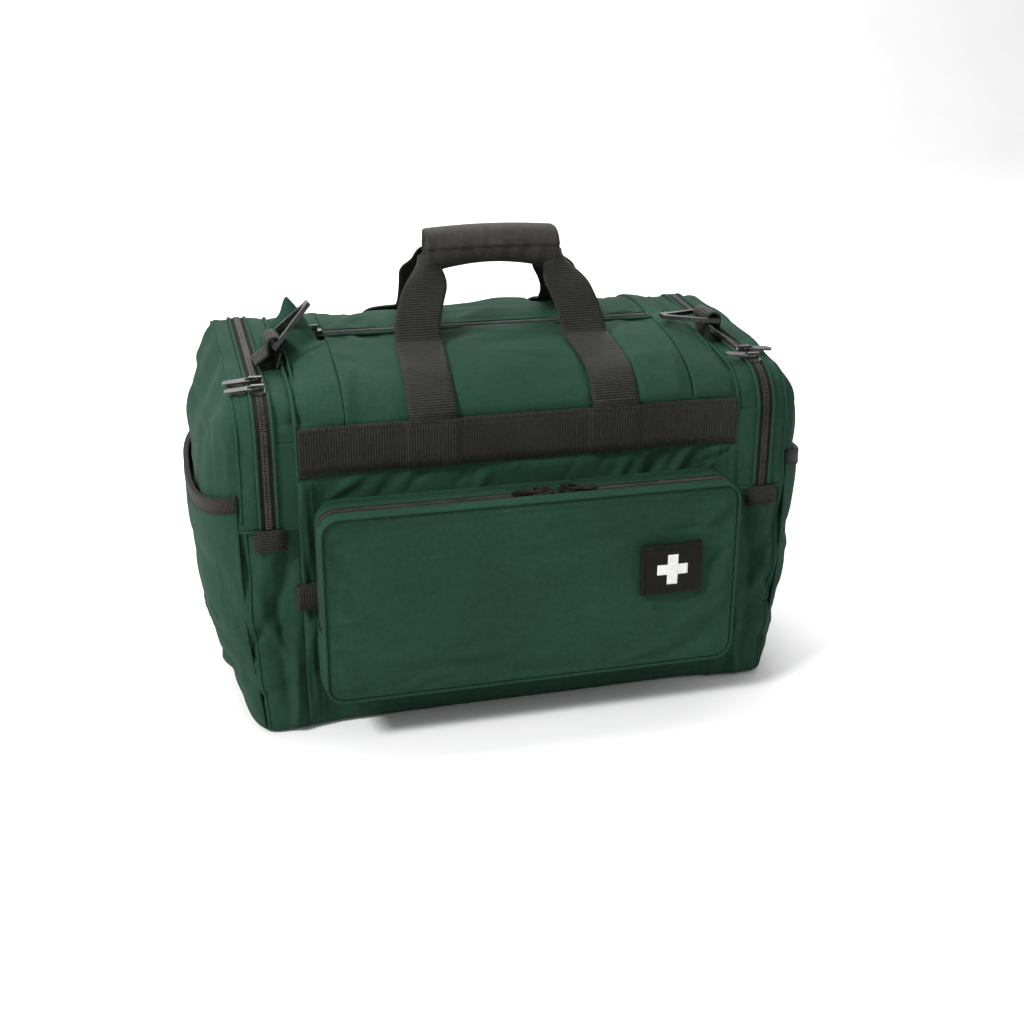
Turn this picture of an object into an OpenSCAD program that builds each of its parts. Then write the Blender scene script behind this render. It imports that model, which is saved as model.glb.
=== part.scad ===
// Soft-sided trauma bag: a padded main section with a straight top zip, an end pocket
// at each end, a boxed front pocket, two webbing handles and two shoulder-strap rings.
// Millimetres. +X runs along the bag, +Z up, and the front pocket faces -Y.

/* [Fabric and webbing] */
// Thickness of a padded fabric wall
pad_t = 3; // [2:0.5:4]
// Thickness of the lighter pocket fabric
ply_t = 2.5; // [1.5:0.5:3]
// Width of the carrying bands and handle straps
web_w = 38; // [30:1:42]
// Thickness of the webbing
web_t = 2; // [1.5:0.5:2]

/* [Main section] */
// Length of the main section between its end seams
main_len = 358; // [340:2:380]
// Depth of the body from front panel to rear panel
body_d = 230; // [220:2:244]
// Height of the lower edge of the carrying bands
band_z = 220; // [216:1:222]
// Height of the fold where each top flap starts
fold_z = 262; // [260:1:266]
// Height of the main zip
zip_z = 304; // [300:1:310]
// Length of the main zip's opening
flap_len = 286; // [240:2:290]

/* [End pockets] */
// How far an end pocket reaches past the main section
end_len = 76; // [70:1:90]
// How far an end pocket stands proud of the front and rear panels
end_out = 6; // [4:1:8]
// Distance from the end seam to the middle of the end zip
end_zip = 27; // [24:1:30]
// Height of the fold of an end cover
end_fold_z = 180; // [170:2:190]
// Depth of the slip pocket on the end face
slip_d = 15; // [12:1:20]
// Height of the mouth of the slip pocket
slip_z = 212; // [206:2:220]

/* [Front pocket] */
// Width of the front pocket
pocket_w = 342; // [320:2:350]
// Depth of the front pocket
pocket_d = 45; // [40:1:50]
// Height of the front pocket's lower edge
pocket_low = 42; // [34:2:60]
// Height of the front pocket's upper edge
pocket_top = 197; // [190:1:206]
// Height of the fold of the pocket cover
pocket_fold = 100; // [84:2:102]
// Width of the patch
patch_w = 52; // [40:2:60]
// Height of the patch
patch_h = 43; // [30:1:60]

/* [Handles and rings] */
// Distance from the middle of the bag to the middle of each strap
strap_x = 75; // [70:1:85]
// Length of the padded grip
grip_len = 112; // [104:2:120]
// Height of the grip's section
grip_h = 33; // [30:1:36]
// Depth of the grip's section
grip_d = 24; // [22:1:26]
// Height of the middle of the grip
grip_z = 370; // [362:1:376]
// Width inside a shoulder-strap ring
ring_w = 36; // [32:1:40]
// Length of a shoulder-strap ring
ring_len = 40; // [36:1:44]
// Diameter of the ring's wire
wire_d = 4.5; // [4:0.5:5]

/* [Zips] */
// Width of one row of coil
coil_w = 3; // [2.5:0.5:3.5]
// Width of the tape that shows beside the coil
tape_w = 3; // [2:0.5:4]
// Width of a slider
slider_w = 12; // [11:1:14]
// Length of a slider
slider_l = 17; // [15:1:18]
// Length of a puller from its pin to its tip
pull_len = 25.5; // [20:0.5:25.5]

/* [Hidden] */

fabric_green = [0.07, 0.24, 0.18];
webbing_black = [0.12, 0.11, 0.10];
coil_black = [0.08, 0.08, 0.08];
metal_black = [0.16, 0.16, 0.17];
board_grey = [0.25, 0.26, 0.26];

// Clearance between parts that move past each other
gap = 0.3;
patch_t = 0.8;
// Thickness of a ring, and the bore of the loop that its bar turns in
ring_t = 3.4;
loop_bore = 6.5;
// Half of the slot between two rows of coil
slot = 1;
row_w = coil_w + tape_w;
coil_t = 2.4;

// The origin is below the middle of the whole bag, so the front and rear
// panels sit off centre by half of what the pocket and end sections add.
half = main_len / 2;
y_front = (pocket_d + patch_t - body_d - end_out) / 2;
y_rear = y_front + body_d;
y_mid = (y_front + y_rear) / 2;
shell_x = half + end_len;
slip_x = shell_x + slip_d;
zip_x = half + end_zip;
end_y0 = y_front - end_out;
end_y1 = y_rear + end_out;
zip_y = y_front - 25;
pocket_y = y_front - pocket_d;

// Corner centres and radii of the end section's arched outline, in Y and Z
front_r = 35;
rear_r = 25;
front_c = [end_y0 + front_r, 246];
rear_c = [end_y1 - rear_r, 272];
slope = atan2(rear_c.y - front_c.y, rear_c.x - front_c.x)
    - asin((front_r - rear_r) / norm(rear_c - front_c));

// Places of the rings, sliders and patch
ring_bar = [half + 8, -12, 307];
patch_at = [112, 131];
main_slider_x = 152;
pocket_slider_x = [8, 28];
slider_gap = 1.5;

function arc(c, r, a0, a1, n) =
    [for (i = [0:n]) let (a = a0 + (a1 - a0) * i / n) c + r * [cos(a), sin(a)]];
function flip(points) = [for (i = [len(points) - 1:-1:0]) points[i]];
function bezier(p, t) = pow(1 - t, 3) * p[0] + 3 * pow(1 - t, 2) * t * p[1]
    + 3 * (1 - t) * t * t * p[2] + pow(t, 3) * p[3];
function tangent(p, t) = let (d = pow(1 - t, 2) * (p[1] - p[0])
    + 2 * (1 - t) * t * (p[2] - p[1]) + t * t * (p[3] - p[2])) d / norm(d);

// Arched outline of an end section in Y and Z, from its lower edge at height low.
// inset shrinks it, drop lowers its top and soften enlarges its corners.
function arch(inset, low, drop = 0, soften = 0) = concat(
    [[end_y0 + inset, low]],
    arc(front_c + [soften, -soften - drop], front_r - inset + soften, 180, 90 + slope, 10),
    arc(rear_c + [-soften, -soften - drop], rear_r - inset + soften, 90 + slope, 0, 8),
    [[end_y1 - inset, low]]);

// Top outline of the main section: one curve from each fold to the zip
front_curve = [[y_front, fold_z], [y_front + 9, fold_z + 24],
    [y_mid - 60, zip_z - 2], [y_mid, zip_z]];
rear_curve = [[y_rear, fold_z], [y_rear, fold_z + 43],
    [y_mid + 55, zip_z + 12], [y_mid, zip_z]];
// side is 1 where the outside of the curve is on its left, -1 on its right
function beside(p, t, off, side) =
    let (d = tangent(p, t)) bezier(p, t) + off * side * [-d.y, d.x];
function curve(p, side, off, t0, t1, n) =
    [for (i = [0:n]) beside(p, t0 + (t1 - t0) * i / n, off, side)];
function ribbon(p, side, in_off, out_off, t0, t1, n) = concat(
    curve(p, side, in_off, t0, t1, n), flip(curve(p, side, out_off, t0, t1, n)));

// Upper outline of the front pocket in X and Z
pocket_r = 14;
function pocket_arch(inset, low) = let (x = pocket_w / 2 - pocket_r, z = pocket_top - pocket_r)
    concat([[-pocket_w / 2 + inset, low]], arc([-x, z], pocket_r - inset, 180, 90, 8),
    arc([x, z], pocket_r - inset, 90, 0, 8), [[pocket_w / 2 - inset, low]]);
function pocket_bowl(inset) = let (x = pocket_w / 2 - pocket_r, z = pocket_low + pocket_r)
    concat([[-pocket_w / 2 + inset, pocket_fold]],
    arc([-x, z], pocket_r - inset, 180, 270, 8),
    arc([x, z], pocket_r - inset, 270, 360, 8), [[pocket_w / 2 - inset, pocket_fold]]);

// Draws an outline of Y and Z, and gives it a length along X from x
module along_x(x, length) {
    translate([x, 0, 0]) rotate([90, 0, 90]) linear_extrude(length) children();
}
// Draws an outline of X and Z, and gives it a length towards the front from y
module along_y(y, length) {
    translate([0, y, 0]) rotate([90, 0, 0]) linear_extrude(length) children();
}
module to_left() {
    mirror([1, 0, 0]) children();
}
module to_rear() {
    translate([0, 2 * y_mid, 0]) mirror([0, 1, 0]) children();
}
module both_sides() {
    children();
    to_left() children();
}
module both_faces() {
    children();
    to_rear() children();
}
module arch_ring(outer, inner, low) {
    difference() {
        polygon(arch(outer, low));
        polygon(arch(inner, low - 1));
    }
}
module pocket_ring(outer, inner, low) {
    difference() {
        polygon(pocket_arch(outer, low));
        polygon(pocket_arch(inner, low - 1));
    }
}

// ---- Bottom, panels and walls of the main section ----

module bottom_panel() {
    r = 22;
    color(fabric_green) translate([0, y_mid, 0]) linear_extrude(pad_t) difference() {
        square([2 * shell_x, body_d + 2 * end_out], center = true);
        for (sx = [-1, 1], sy = [-1, 1])
            translate([sx * shell_x, sy * (body_d / 2 + end_out)]) difference() {
                square(2 * r, center = true);
                translate([-sx * r, -sy * r]) circle(r, $fn = 48);
            }
    }
}
module base_board() {
    color(board_grey) translate([-half + 8, y_front + 7, pad_t])
        cube([main_len - 16, body_d - 14, 3]);
}
module wall_panel() {
    color(fabric_green) translate([-half, y_front, pad_t])
        cube([main_len, pad_t, fold_z - gap - pad_t]);
}
module inner_wall() {
    color(fabric_green) along_x(half - pad_t, pad_t) intersection() {
        polygon(concat([[y_front, pad_t]], curve(front_curve, 1, -pad_t - gap, 0, 1, 14),
            flip(curve(rear_curve, -1, -pad_t - gap, 0, 1, 14)), [[y_rear, pad_t]]));
        translate([y_front + pad_t, pad_t]) square([body_d - 2 * pad_t, 400]);
    }
}
module padded_dividers() {
    color(board_grey) for (x = [-66, 58])
        translate([x, y_front + 6, pad_t + 3.5]) cube([8, body_d - 12, 190]);
}
// Fixed end of the top, between the end of the zip and the end seam
module top_strip() {
    x = flap_len / 2 + gap;
    color(fabric_green) difference() {
        along_x(x, half - x) {
            polygon(ribbon(front_curve, 1, -pad_t, 0, 0, 1, 14));
            polygon(ribbon(rear_curve, -1, -pad_t, 0, 0, 1, 14));
        }
        translate([x - 1, y_mid - slot - row_w, 250]) cube([21, 2 * (slot + row_w), 80]);
        translate([0, y_front - 20, 240]) cube([main_len, body_d + 40, fold_z - 240]);
    }
}
module top_flap(p, side) {
    color(fabric_green) difference() {
        along_x(-flap_len / 2, flap_len) polygon(ribbon(p, side, -pad_t, 0, 0, 0.95, 14));
        translate([-half, y_mid - slot - row_w, 250]) cube([main_len, 2 * (slot + row_w), 80]);
        translate([-half, y_front - 20, 240]) cube([main_len, body_d + 40, fold_z + gap - 240]);
    }
}
// One straight row of coil on its tape, along X, in front of the slot
module straight_row(x, length) {
    color(coil_black) translate([x, 0, zip_z]) {
        translate([0, y_mid - slot - row_w, -1.8]) cube([length, row_w, 1.2]);
        translate([0, y_mid - slot - coil_w, -coil_t]) cube([length, coil_w, coil_t]);
    }
}
module main_zip_ends() {
    both_sides() both_faces() straight_row(flap_len / 2 + gap, 20);
}

// ---- Carrying bands and handles ----

module band() {
    color(webbing_black) {
        difference() {
            translate([-half, y_front - web_t, band_z]) cube([main_len, web_t, web_w]);
            both_sides() translate([strap_x - web_w / 2 - gap, y_front - 2 * web_t, 0])
                cube([web_w + 2 * gap, 3 * web_t, 400]);
        }
        // The band steps out over each strap
        both_sides() translate([strap_x - web_w / 2 - 3, y_front - 2 * web_t, band_z])
            difference() {
                cube([web_w + 6, 2 * web_t, web_w]);
                translate([3 - gap, web_t, -1]) cube([web_w + 2 * gap, 2 * web_t, web_w + 2]);
            }
    }
}
module strap_ends() {
    color(webbing_black) both_faces() both_sides()
        translate([strap_x - web_w / 2, y_front - web_t, band_z + 8])
            cube([web_w, web_t, fold_z - 1 - band_z - 8]);
}
strap_off = 3;
core_w = 16;
core_t = 4;
front_core_y = y_mid - 8;
rear_core_y = y_mid + grip_d - 17.4;
// One strap: it follows the top curve up to leave, then runs straight to the grip
module strap(p, side, leave, core_y) {
    start = beside(p, leave, strap_off, side);
    goal = [core_y, grip_z - 2];
    d = (goal - start) / norm(goal - start);
    n = side * [-d.y, d.x] * web_t;
    difference() {
        along_x(strap_x - web_w / 2, web_w)
            polygon(ribbon(p, side, strap_off, strap_off + web_t, 0, leave, 6));
        translate([0, y_front - 50, fold_z - 20]) cube([200, body_d + 100, 20 + gap]);
    }
    intersection() {
        along_x(0, 200) polygon([start - d, goal, goal + n, start - d + n]);
        along_y(y_rear + 50, body_d + 100) polygon([[strap_x - web_w / 2, start.y - 2],
            [strap_x + web_w / 2, start.y - 2], [60, grip_z + 6], [42, grip_z + 6]]);
    }
}
module handle_webbing(p, side, leave, core_y) {
    color(webbing_black) {
        both_sides() strap(p, side, leave, core_y);
        translate([-grip_len / 2 - 3, core_y - core_t / 2, grip_z - core_w / 2])
            cube([grip_len + 6, core_t, core_w]);
    }
}
// Padded sleeve round the front handle, with a flat back for the rear handle to lie on
module grip_pad() {
    back = rear_core_y - core_t / 2 - 0.6;
    color(webbing_black) difference() {
        along_x(-grip_len / 2 + 1, grip_len - 2) polygon([for (i = [0:24])
            let (a = 180 * i / 24) [back - grip_d * pow(sin(a), 0.7),
            grip_z + grip_h / 2 * cos(a)]]);
        translate([-100, front_core_y - core_t / 2 - gap, grip_z - core_w / 2 - gap])
            cube([200, core_t + 2 * gap, core_w + 2 * gap]);
        strap_slot();
    }
}
// Room in the sleeve's ends for the straps that run into it
module strap_slot() {
    both_sides() translate([38, y_mid - 60, grip_z - 40]) cube([40, 40 + 16, 40 + core_w / 2]);
}

// ---- End pockets ----

// Slices of the outer cover: place along X, inset, drop and corner softening
cover_slices = [[zip_x + slot + row_w, 0, 0, 0], [shell_x - 30, 0, 2, 0],
    [shell_x - 15, 4, 10, 10], [shell_x - 5, 13.4, 22, 20], [shell_x, 28, 40, 30]];
slice_t = 0.2;
module cover_body(inset, back, low) {
    hull() for (s = cover_slices)
        along_x(s[0] - back - slice_t, slice_t) polygon(arch(s[1] + inset, low, s[2], s[3]));
}
module end_cover() {
    color(fabric_green) difference() {
        cover_body(0, 0, end_fold_z + gap);
        cover_body(pad_t, pad_t, end_fold_z - 2);
        translate([zip_x - 40, -300, 0]) cube([40 + slot + row_w, 600, 400]);
        translate([zip_x, -300, 0]) cube([100, 600, end_fold_z + gap]);
    }
}
// Plan of an end section from x outwards, its outline moved in by inset
module end_plan(x, inset) {
    r = 30;
    hull() {
        translate([x, end_y0 + inset]) square([1, end_y1 - end_y0 - 2 * inset]);
        for (y = [end_y0 + r, end_y1 - r])
            translate([shell_x - r, y]) circle(r - inset, $fn = 64);
    }
}
module end_shell() {
    color(fabric_green) translate([0, 0, pad_t]) linear_extrude(end_fold_z - pad_t)
        difference() {
            end_plan(half, 0);
            end_plan(half - 1, pad_t);
        }
}
module end_gusset() {
    color(fabric_green) along_x(half, end_zip - slot - row_w) arch_ring(0, pad_t, end_fold_z);
}
// A row of coil round the arch: toward is 1 when the coil is on the +X edge
module arch_row(x, toward, low) {
    color(coil_black) {
        along_x(x, row_w) arch_ring(0.6, 1.8, low);
        along_x(x + (toward > 0 ? tape_w : 0), coil_w) arch_ring(0, coil_t, low);
    }
}
slip_y0 = end_y0 + 30;
slip_len = end_y1 - end_y0 - 60;
module slip_plan(out, t) {
    difference() {
        translate([shell_x + gap, slip_y0]) square([slip_d - gap - out, slip_len]);
        translate([shell_x, slip_y0 + t]) square([slip_d - out - t, slip_len - 2 * t]);
    }
}
module slip_pocket() {
    color(fabric_green) {
        translate([0, 0, pad_t]) linear_extrude(end_fold_z - gap / 2 - pad_t) slip_plan(0.6, 2);
        translate([shell_x + gap, slip_y0, pad_t]) cube([slip_d - 1.6, slip_len, 2]);
    }
}
module slip_edge() {
    color(fabric_green) translate([0, 0, end_fold_z + gap / 2])
        linear_extrude(slip_z - 9 - end_fold_z) slip_plan(0.6, 2);
    color(webbing_black) translate([0, 0, slip_z - 10]) linear_extrude(10) slip_plan(0, 3);
}
module zip_tabs() {
    color(webbing_black) {
        both_faces() both_sides() translate([zip_x - 13, end_y0 - web_t, end_fold_z - 16])
            cube([27, web_t, 15]);
        both_sides() translate([pocket_w / 2, y_front - 18, 112]) cube([16, 12, 20]);
    }
}
module ring_loop() {
    color(webbing_black) {
        intersection() {
            along_x(ring_bar.x + 1, 10) difference() {
                polygon(arch(-web_t, 200));
                polygon(arch(0, 190));
            }
            translate([0, ring_bar.y - 16, 0]) cube([400, 32, 400]);
        }
        difference() {
            union() {
                translate([ring_bar.x, ring_bar.y - 16, ring_bar.z]) rotate([-90, 0, 0])
                    cylinder(h = 32, d = loop_bore + 3, $fn = 40);
                translate([ring_bar.x + loop_bore / 2 - 0.5, ring_bar.y - 16, 284])
                    cube([web_t, 32, ring_bar.z - 284]);
            }
            translate([ring_bar.x, ring_bar.y - 17, ring_bar.z]) rotate([-90, 0, 0])
                cylinder(h = 34, d = loop_bore, $fn = 40);
            along_x(0, 400) polygon(arch(0, 100));
        }
    }
}
// Triangular ring, raised by lift degrees about its bar
module ring(lift) {
    r = wire_d / 2;
    w = ring_w / 2;
    tip = 5;
    color(metal_black) translate(ring_bar) rotate([0, lift, 0])
        translate([0, 0, -ring_t / 2]) linear_extrude(ring_t) difference() {
            polygon([[r, -w - wire_d], [r, w + wire_d], [-ring_len - r, tip],
                [-ring_len - r, -tip]]);
            polygon([[-r, -w], [-r, w], [-ring_len + r, 1], [-ring_len + r, -1]]);
        }
}

// ---- Front pocket ----

module front_pocket_tub() {
    color(fabric_green) {
        along_y(y_front, pocket_d - ply_t) difference() {
            polygon(pocket_bowl(0));
            translate([0, gap]) polygon(pocket_bowl(ply_t));
        }
        along_y(pocket_y + ply_t, ply_t) polygon(pocket_bowl(0));
    }
}
module front_pocket_gusset() {
    color(fabric_green) along_y(y_front, y_front - zip_y - slot - row_w)
        pocket_ring(0, ply_t, pocket_fold);
}
module pocket_row(y, front_coil, low) {
    color(coil_black) {
        along_y(y, row_w) pocket_ring(0.6, 1.8, low);
        along_y(y - (front_coil ? tape_w : 0), coil_w) pocket_ring(0, coil_t, low);
    }
}
module front_pocket_cover() {
    low = pocket_fold + gap;
    color(fabric_green) {
        along_y(zip_y - slot - row_w, zip_y - slot - row_w - pocket_y - ply_t)
            pocket_ring(0, ply_t, low);
        along_y(pocket_y + ply_t, ply_t) polygon(pocket_arch(0, low));
    }
}
module patch() {
    color(webbing_black) translate([patch_at.x - patch_w / 2, pocket_y - patch_t,
        patch_at.y - patch_h / 2]) cube([patch_w, patch_t, patch_h]);
}

// ---- Sliders and pullers ----

pin_h = 4.6;
// A slider on a zip that runs along X, its bridge turned 90 degrees when across is true
module slider(across) {
    l = slider_l / 2;
    w = slider_w / 2;
    color(metal_black) {
        translate([0, 0, 0.5]) linear_extrude(2) polygon([[-l, -w + 3], [-l + 2, -w + 1],
            [l - 5, -w], [l, -w + 3], [l, w - 3], [l - 5, w], [-l + 2, w - 1], [-l, w - 3]]);
        translate([-3, -0.6, -coil_t]) cube([6, 1.2, coil_t + 1]);
        rotate([0, 0, across ? 90 : 0]) difference() {
            translate([-5, -1.5, 2.4]) cube([10, 3, 4.4]);
            translate([0, -2, pin_h]) rotate([-90, 0, 0]) cylinder(h = 4, d = 2.8, $fn = 28);
        }
    }
}
// A puller on a pin along Y: it reaches along +X from the pin
module puller() {
    color(metal_black) {
        translate([0, -4, 0]) rotate([-90, 0, 0]) cylinder(h = 8, d = 2, $fn = 24);
        for (y = [-4, 2.6]) translate([0, y, -0.8]) cube([9, 1.4, 1.6]);
        translate([7.6, -4, -0.8]) cube([pull_len - 11.6, 8, 1.6]);
        translate([pull_len - 4, 0, -0.8]) cylinder(h = 1.6, r = 4, $fn = 32);
    }
}
module at_main() {
    translate([-main_slider_x, y_mid, zip_z]) children();
}
module at_pocket(i) {
    translate([pocket_slider_x[i], zip_y, pocket_top]) children();
}
// Upper slider of an end zip: on the sloping top run, its own X towards the rear
lower_c = front_c + front_r * [cos(90 + slope), sin(90 + slope)];
upper_c = lower_c + (slider_l + slider_gap) * [cos(slope), sin(slope)];
module at_end(c) {
    translate([zip_x, c.x, c.y]) rotate([slope, 0, 0]) rotate([0, 0, 90]) children();
}
// A puller of an end zip lies across the zip: outwards when turn is -90, inwards when 90
module end_puller(c, turn, drop) {
    at_end(c) translate([0, 0, pin_h]) rotate([0, 0, turn]) rotate([0, drop, 0]) puller();
}

bottom_panel();
base_board();
wall_panel();  // front_panel
to_rear() wall_panel();  // rear_panel
to_left() inner_wall();  // left_inner_wall
inner_wall();  // right_inner_wall
padded_dividers();
to_left() top_strip();  // left_top_strip
top_strip();  // right_top_strip
main_zip_ends();
band();  // front_band
to_rear() band();  // rear_band
strap_ends();
to_left() end_shell();  // left_end_shell
end_shell();  // right_end_shell
to_left() end_gusset();  // left_end_gusset
end_gusset();  // right_end_gusset
to_left() arch_row(zip_x - slot - row_w, 1, end_fold_z);  // left_zip_inner
arch_row(zip_x - slot - row_w, 1, end_fold_z);  // right_zip_inner
to_left() slip_pocket();  // left_slip_pocket
slip_pocket();  // right_slip_pocket
to_left() ring_loop();  // left_ring_loop
ring_loop();  // right_ring_loop
zip_tabs();
front_pocket_tub();
front_pocket_gusset();
pocket_row(zip_y + slot + row_w, true, pocket_fold);  // pocket_zip_inner
top_flap(front_curve, 1);  // front_top_flap
straight_row(-flap_len / 2, flap_len);  // main_zip_front
top_flap(rear_curve, -1);  // rear_top_flap
to_rear() straight_row(-flap_len / 2, flap_len);  // main_zip_rear
at_main() slider(false);  // main_slider
at_main() translate([0, 0, pin_h]) rotate([0, 3, 180]) puller();  // main_puller
handle_webbing(front_curve, 1, 0.21, front_core_y);  // front_handle
grip_pad();
handle_webbing(rear_curve, -1, 0.3, rear_core_y);  // rear_handle
to_left() end_cover();  // left_end_cover
to_left() arch_row(zip_x + slot, -1, end_fold_z + gap);  // left_zip_outer
to_left() slip_edge();  // left_slip_edge
end_cover();  // right_end_cover
arch_row(zip_x + slot, -1, end_fold_z + gap);  // right_zip_outer
slip_edge();  // right_slip_edge
to_left() at_end(upper_c) slider(true);  // left_upper_slider
to_left() end_puller(upper_c, -90, 5);  // left_upper_puller
to_left() at_end(lower_c) slider(true);  // left_lower_slider
to_left() end_puller(lower_c, -90, 5);  // left_lower_puller
at_end(upper_c) slider(true);  // right_upper_slider
end_puller(upper_c, -90, 5);  // right_upper_puller
at_end(lower_c) slider(true);  // right_lower_slider
end_puller(lower_c, 90, -6);  // right_lower_puller
front_pocket_cover();
pocket_row(zip_y - slot, false, pocket_fold + gap);  // pocket_zip_outer
patch();
at_pocket(0) slider(false);  // pocket_left_slider
at_pocket(0) translate([0, 0, pin_h]) rotate([0, 5, 180]) puller();  // pocket_left_puller
at_pocket(1) slider(false);  // pocket_right_slider
at_pocket(1) translate([0, 0, pin_h]) rotate([0, 5, 0]) puller();  // pocket_right_puller
to_left() ring(45);  // left_ring
ring(3);  // right_ring
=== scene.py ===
import math

import bmesh
import bpy
import numpy as np
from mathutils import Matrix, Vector, noise


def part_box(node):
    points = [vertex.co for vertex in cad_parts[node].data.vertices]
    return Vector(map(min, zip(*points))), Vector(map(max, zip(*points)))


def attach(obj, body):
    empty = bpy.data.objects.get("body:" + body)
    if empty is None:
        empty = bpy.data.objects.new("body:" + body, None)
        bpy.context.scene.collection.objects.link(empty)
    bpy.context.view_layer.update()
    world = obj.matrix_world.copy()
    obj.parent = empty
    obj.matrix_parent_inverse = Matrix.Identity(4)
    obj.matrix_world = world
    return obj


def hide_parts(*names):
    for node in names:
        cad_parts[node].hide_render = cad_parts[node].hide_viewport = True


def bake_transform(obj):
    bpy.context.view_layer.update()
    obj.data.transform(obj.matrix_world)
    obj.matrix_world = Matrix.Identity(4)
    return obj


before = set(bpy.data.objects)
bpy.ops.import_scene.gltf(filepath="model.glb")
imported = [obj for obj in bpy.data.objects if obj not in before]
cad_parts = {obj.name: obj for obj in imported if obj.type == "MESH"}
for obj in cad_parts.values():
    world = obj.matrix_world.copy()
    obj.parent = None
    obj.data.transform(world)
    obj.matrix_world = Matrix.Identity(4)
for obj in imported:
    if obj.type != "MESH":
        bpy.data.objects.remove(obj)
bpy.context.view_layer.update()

MM = 0.001


# ---- Sizes, read from the CAD frame ----

def lo(node):
    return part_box(node)[0]


def hi(node):
    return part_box(node)[1]


HALF = hi("front_panel")[0]
Y_FRONT = lo("front_panel")[1]
Y_REAR = hi("rear_panel")[1]
Y_MID = (Y_FRONT + Y_REAR) / 2
FOLD = hi("front_panel")[2]
ZIP_Z = hi("main_zip_front")[2]
FLAP_X = hi("main_zip_front")[0]
END_Y0 = lo("right_end_shell")[1]
END_Y1 = hi("right_end_shell")[1]
END_FOLD = hi("right_end_shell")[2]
ZIP_X = hi("right_zip_inner")[0] + 1 * MM
SLIP_X = hi("right_slip_edge")[0]
SLIP_Z = hi("right_slip_edge")[2]
BAND_LOW = lo("front_band")[2]
BAND_TOP = hi("front_band")[2]
POCKET_X = hi("front_pocket_cover")[0]
POCKET_Y = lo("front_pocket_cover")[1]
POCKET_LOW = lo("front_pocket_tub")[2]
POCKET_TOP = hi("front_pocket_cover")[2]
POCKET_FOLD = hi("front_pocket_tub")[2]
POCKET_ZIP = lo("pocket_zip_inner")[1] - 1 * MM
ARCH_TOP = hi("right_end_gusset")[2]
# The ends' arch: two round corners, the front one lower, and the slope between them
FRONT_R = 35 * MM
REAR_R = 25 * MM
FRONT_C = np.array([END_Y0 + FRONT_R, ARCH_TOP - REAR_R - 26 * MM])
REAR_C = np.array([END_Y1 - REAR_R, ARCH_TOP - REAR_R])
STEP = REAR_C - FRONT_C
SLOPE = math.atan2(STEP[1], STEP[0]) - math.asin((FRONT_R - REAR_R) / np.hypot(*STEP))
CLOTH_T = 1.6 * MM
ENDS = ((-1, "left"), (1, "right"))
FLOOR_GAP = 0.2 * MM


# ---- Curves ----

def lengths(points):
    """Distance along a line of points, at each of them."""
    return np.concatenate([[0], np.cumsum(np.linalg.norm(np.diff(points, axis=0), axis=1))])


class Path:
    """A polyline in the plane, read by the fraction of its length."""

    def __init__(self, points):
        self.p = np.array(points, float)
        self.s = lengths(self.p)
        self.length = self.s[-1]

    def at(self, f):
        d = f * self.length
        return np.array([np.interp(d, self.s, self.p[:, k]) for k in range(self.p.shape[1])])

    def normal(self, f):
        d = self.at(min(1, f + 0.004)) - self.at(max(0, f - 0.004))
        d /= np.linalg.norm(d)
        return np.array([-d[1], d[0]])


def arc(c, r, a0, a1, n):
    return [np.array(c) + r * np.array([math.cos(a), math.sin(a)])
            for a in np.linspace(a0, a1, n)]


def bezier(p, n=40):
    p = np.array(p, float)
    return [(1 - t) ** 3 * p[0] + 3 * (1 - t) ** 2 * t * p[1] + 3 * (1 - t) * t * t * p[2]
            + t ** 3 * p[3] for t in np.linspace(0, 1, n)]


def smooth(a, b, x):
    t = min(1, max(0, (x - a) / (b - a)))
    return t * t * (3 - 2 * t)


def mix(a, b, t):
    return a + (b - a) * t


FRONT_CURVE = [[Y_FRONT, FOLD], [Y_FRONT + 9 * MM, FOLD + 24 * MM],
               [Y_MID - 60 * MM, ZIP_Z - 2 * MM], [Y_MID, ZIP_Z]]
REAR_CURVE = [[Y_MID, ZIP_Z], [Y_MID + 55 * MM, ZIP_Z + 12 * MM],
              [Y_REAR, FOLD + 43 * MM], [Y_REAR, FOLD]]
MAIN_TOP = [Path(bezier(FRONT_CURVE)), Path(bezier(REAR_CURVE))]
TURN = math.pi / 2 + SLOPE
FRONT_A = math.pi - math.asin((FOLD - FRONT_C[1]) / FRONT_R)
TOP_MID = [Y_MID, ARCH_TOP - (REAR_C[0] - Y_MID) * math.tan(SLOPE)]
ARCH_PARTS = [Path(arc(FRONT_C, FRONT_R, FRONT_A, TURN, 12) + [TOP_MID]),
              Path([TOP_MID] + arc(REAR_C, REAR_R, TURN, 0, 12) + [[END_Y1, FOLD]])]
ARCH = Path([[END_Y0, END_FOLD]] + arc(FRONT_C, FRONT_R, math.pi, TURN, 24)
            + arc(REAR_C, REAR_R, TURN, 0, 20) + [[END_Y1, END_FOLD]])


def arch_front_y(z):
    rise = min(max(z - FRONT_C[1], 0), FRONT_R * 0.99)
    return FRONT_C[0] - math.sqrt(FRONT_R ** 2 - rise ** 2)


def tuck(z, r=9 * MM):
    """How far the cloth has turned under near the floor."""
    if z >= r:
        return 0.0
    return r - math.sqrt(max(0.0, r * r - (r - z) ** 2))


def section(x, t):
    """Point of the bag's round at x: t 0-1 up the front, 1-2-3 over the top, 3-4 down the rear."""
    w = smooth(148 * MM, 200 * MM, abs(x))
    seg = min(int(t), 3)
    f = t - seg
    if seg == 0:
        z = f * FOLD
        y = mix(Y_FRONT, arch_front_y(z), w) + tuck(z)
    elif seg == 3:
        z = (1 - f) * FOLD
        y = mix(Y_REAR, END_Y1, w) - tuck(z)
    else:
        y, z = mix(MAIN_TOP[seg - 1].at(f), ARCH_PARTS[seg - 1].at(f), w)
    return Vector((x, y, z))


# ---- Cloth folds ----

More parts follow.
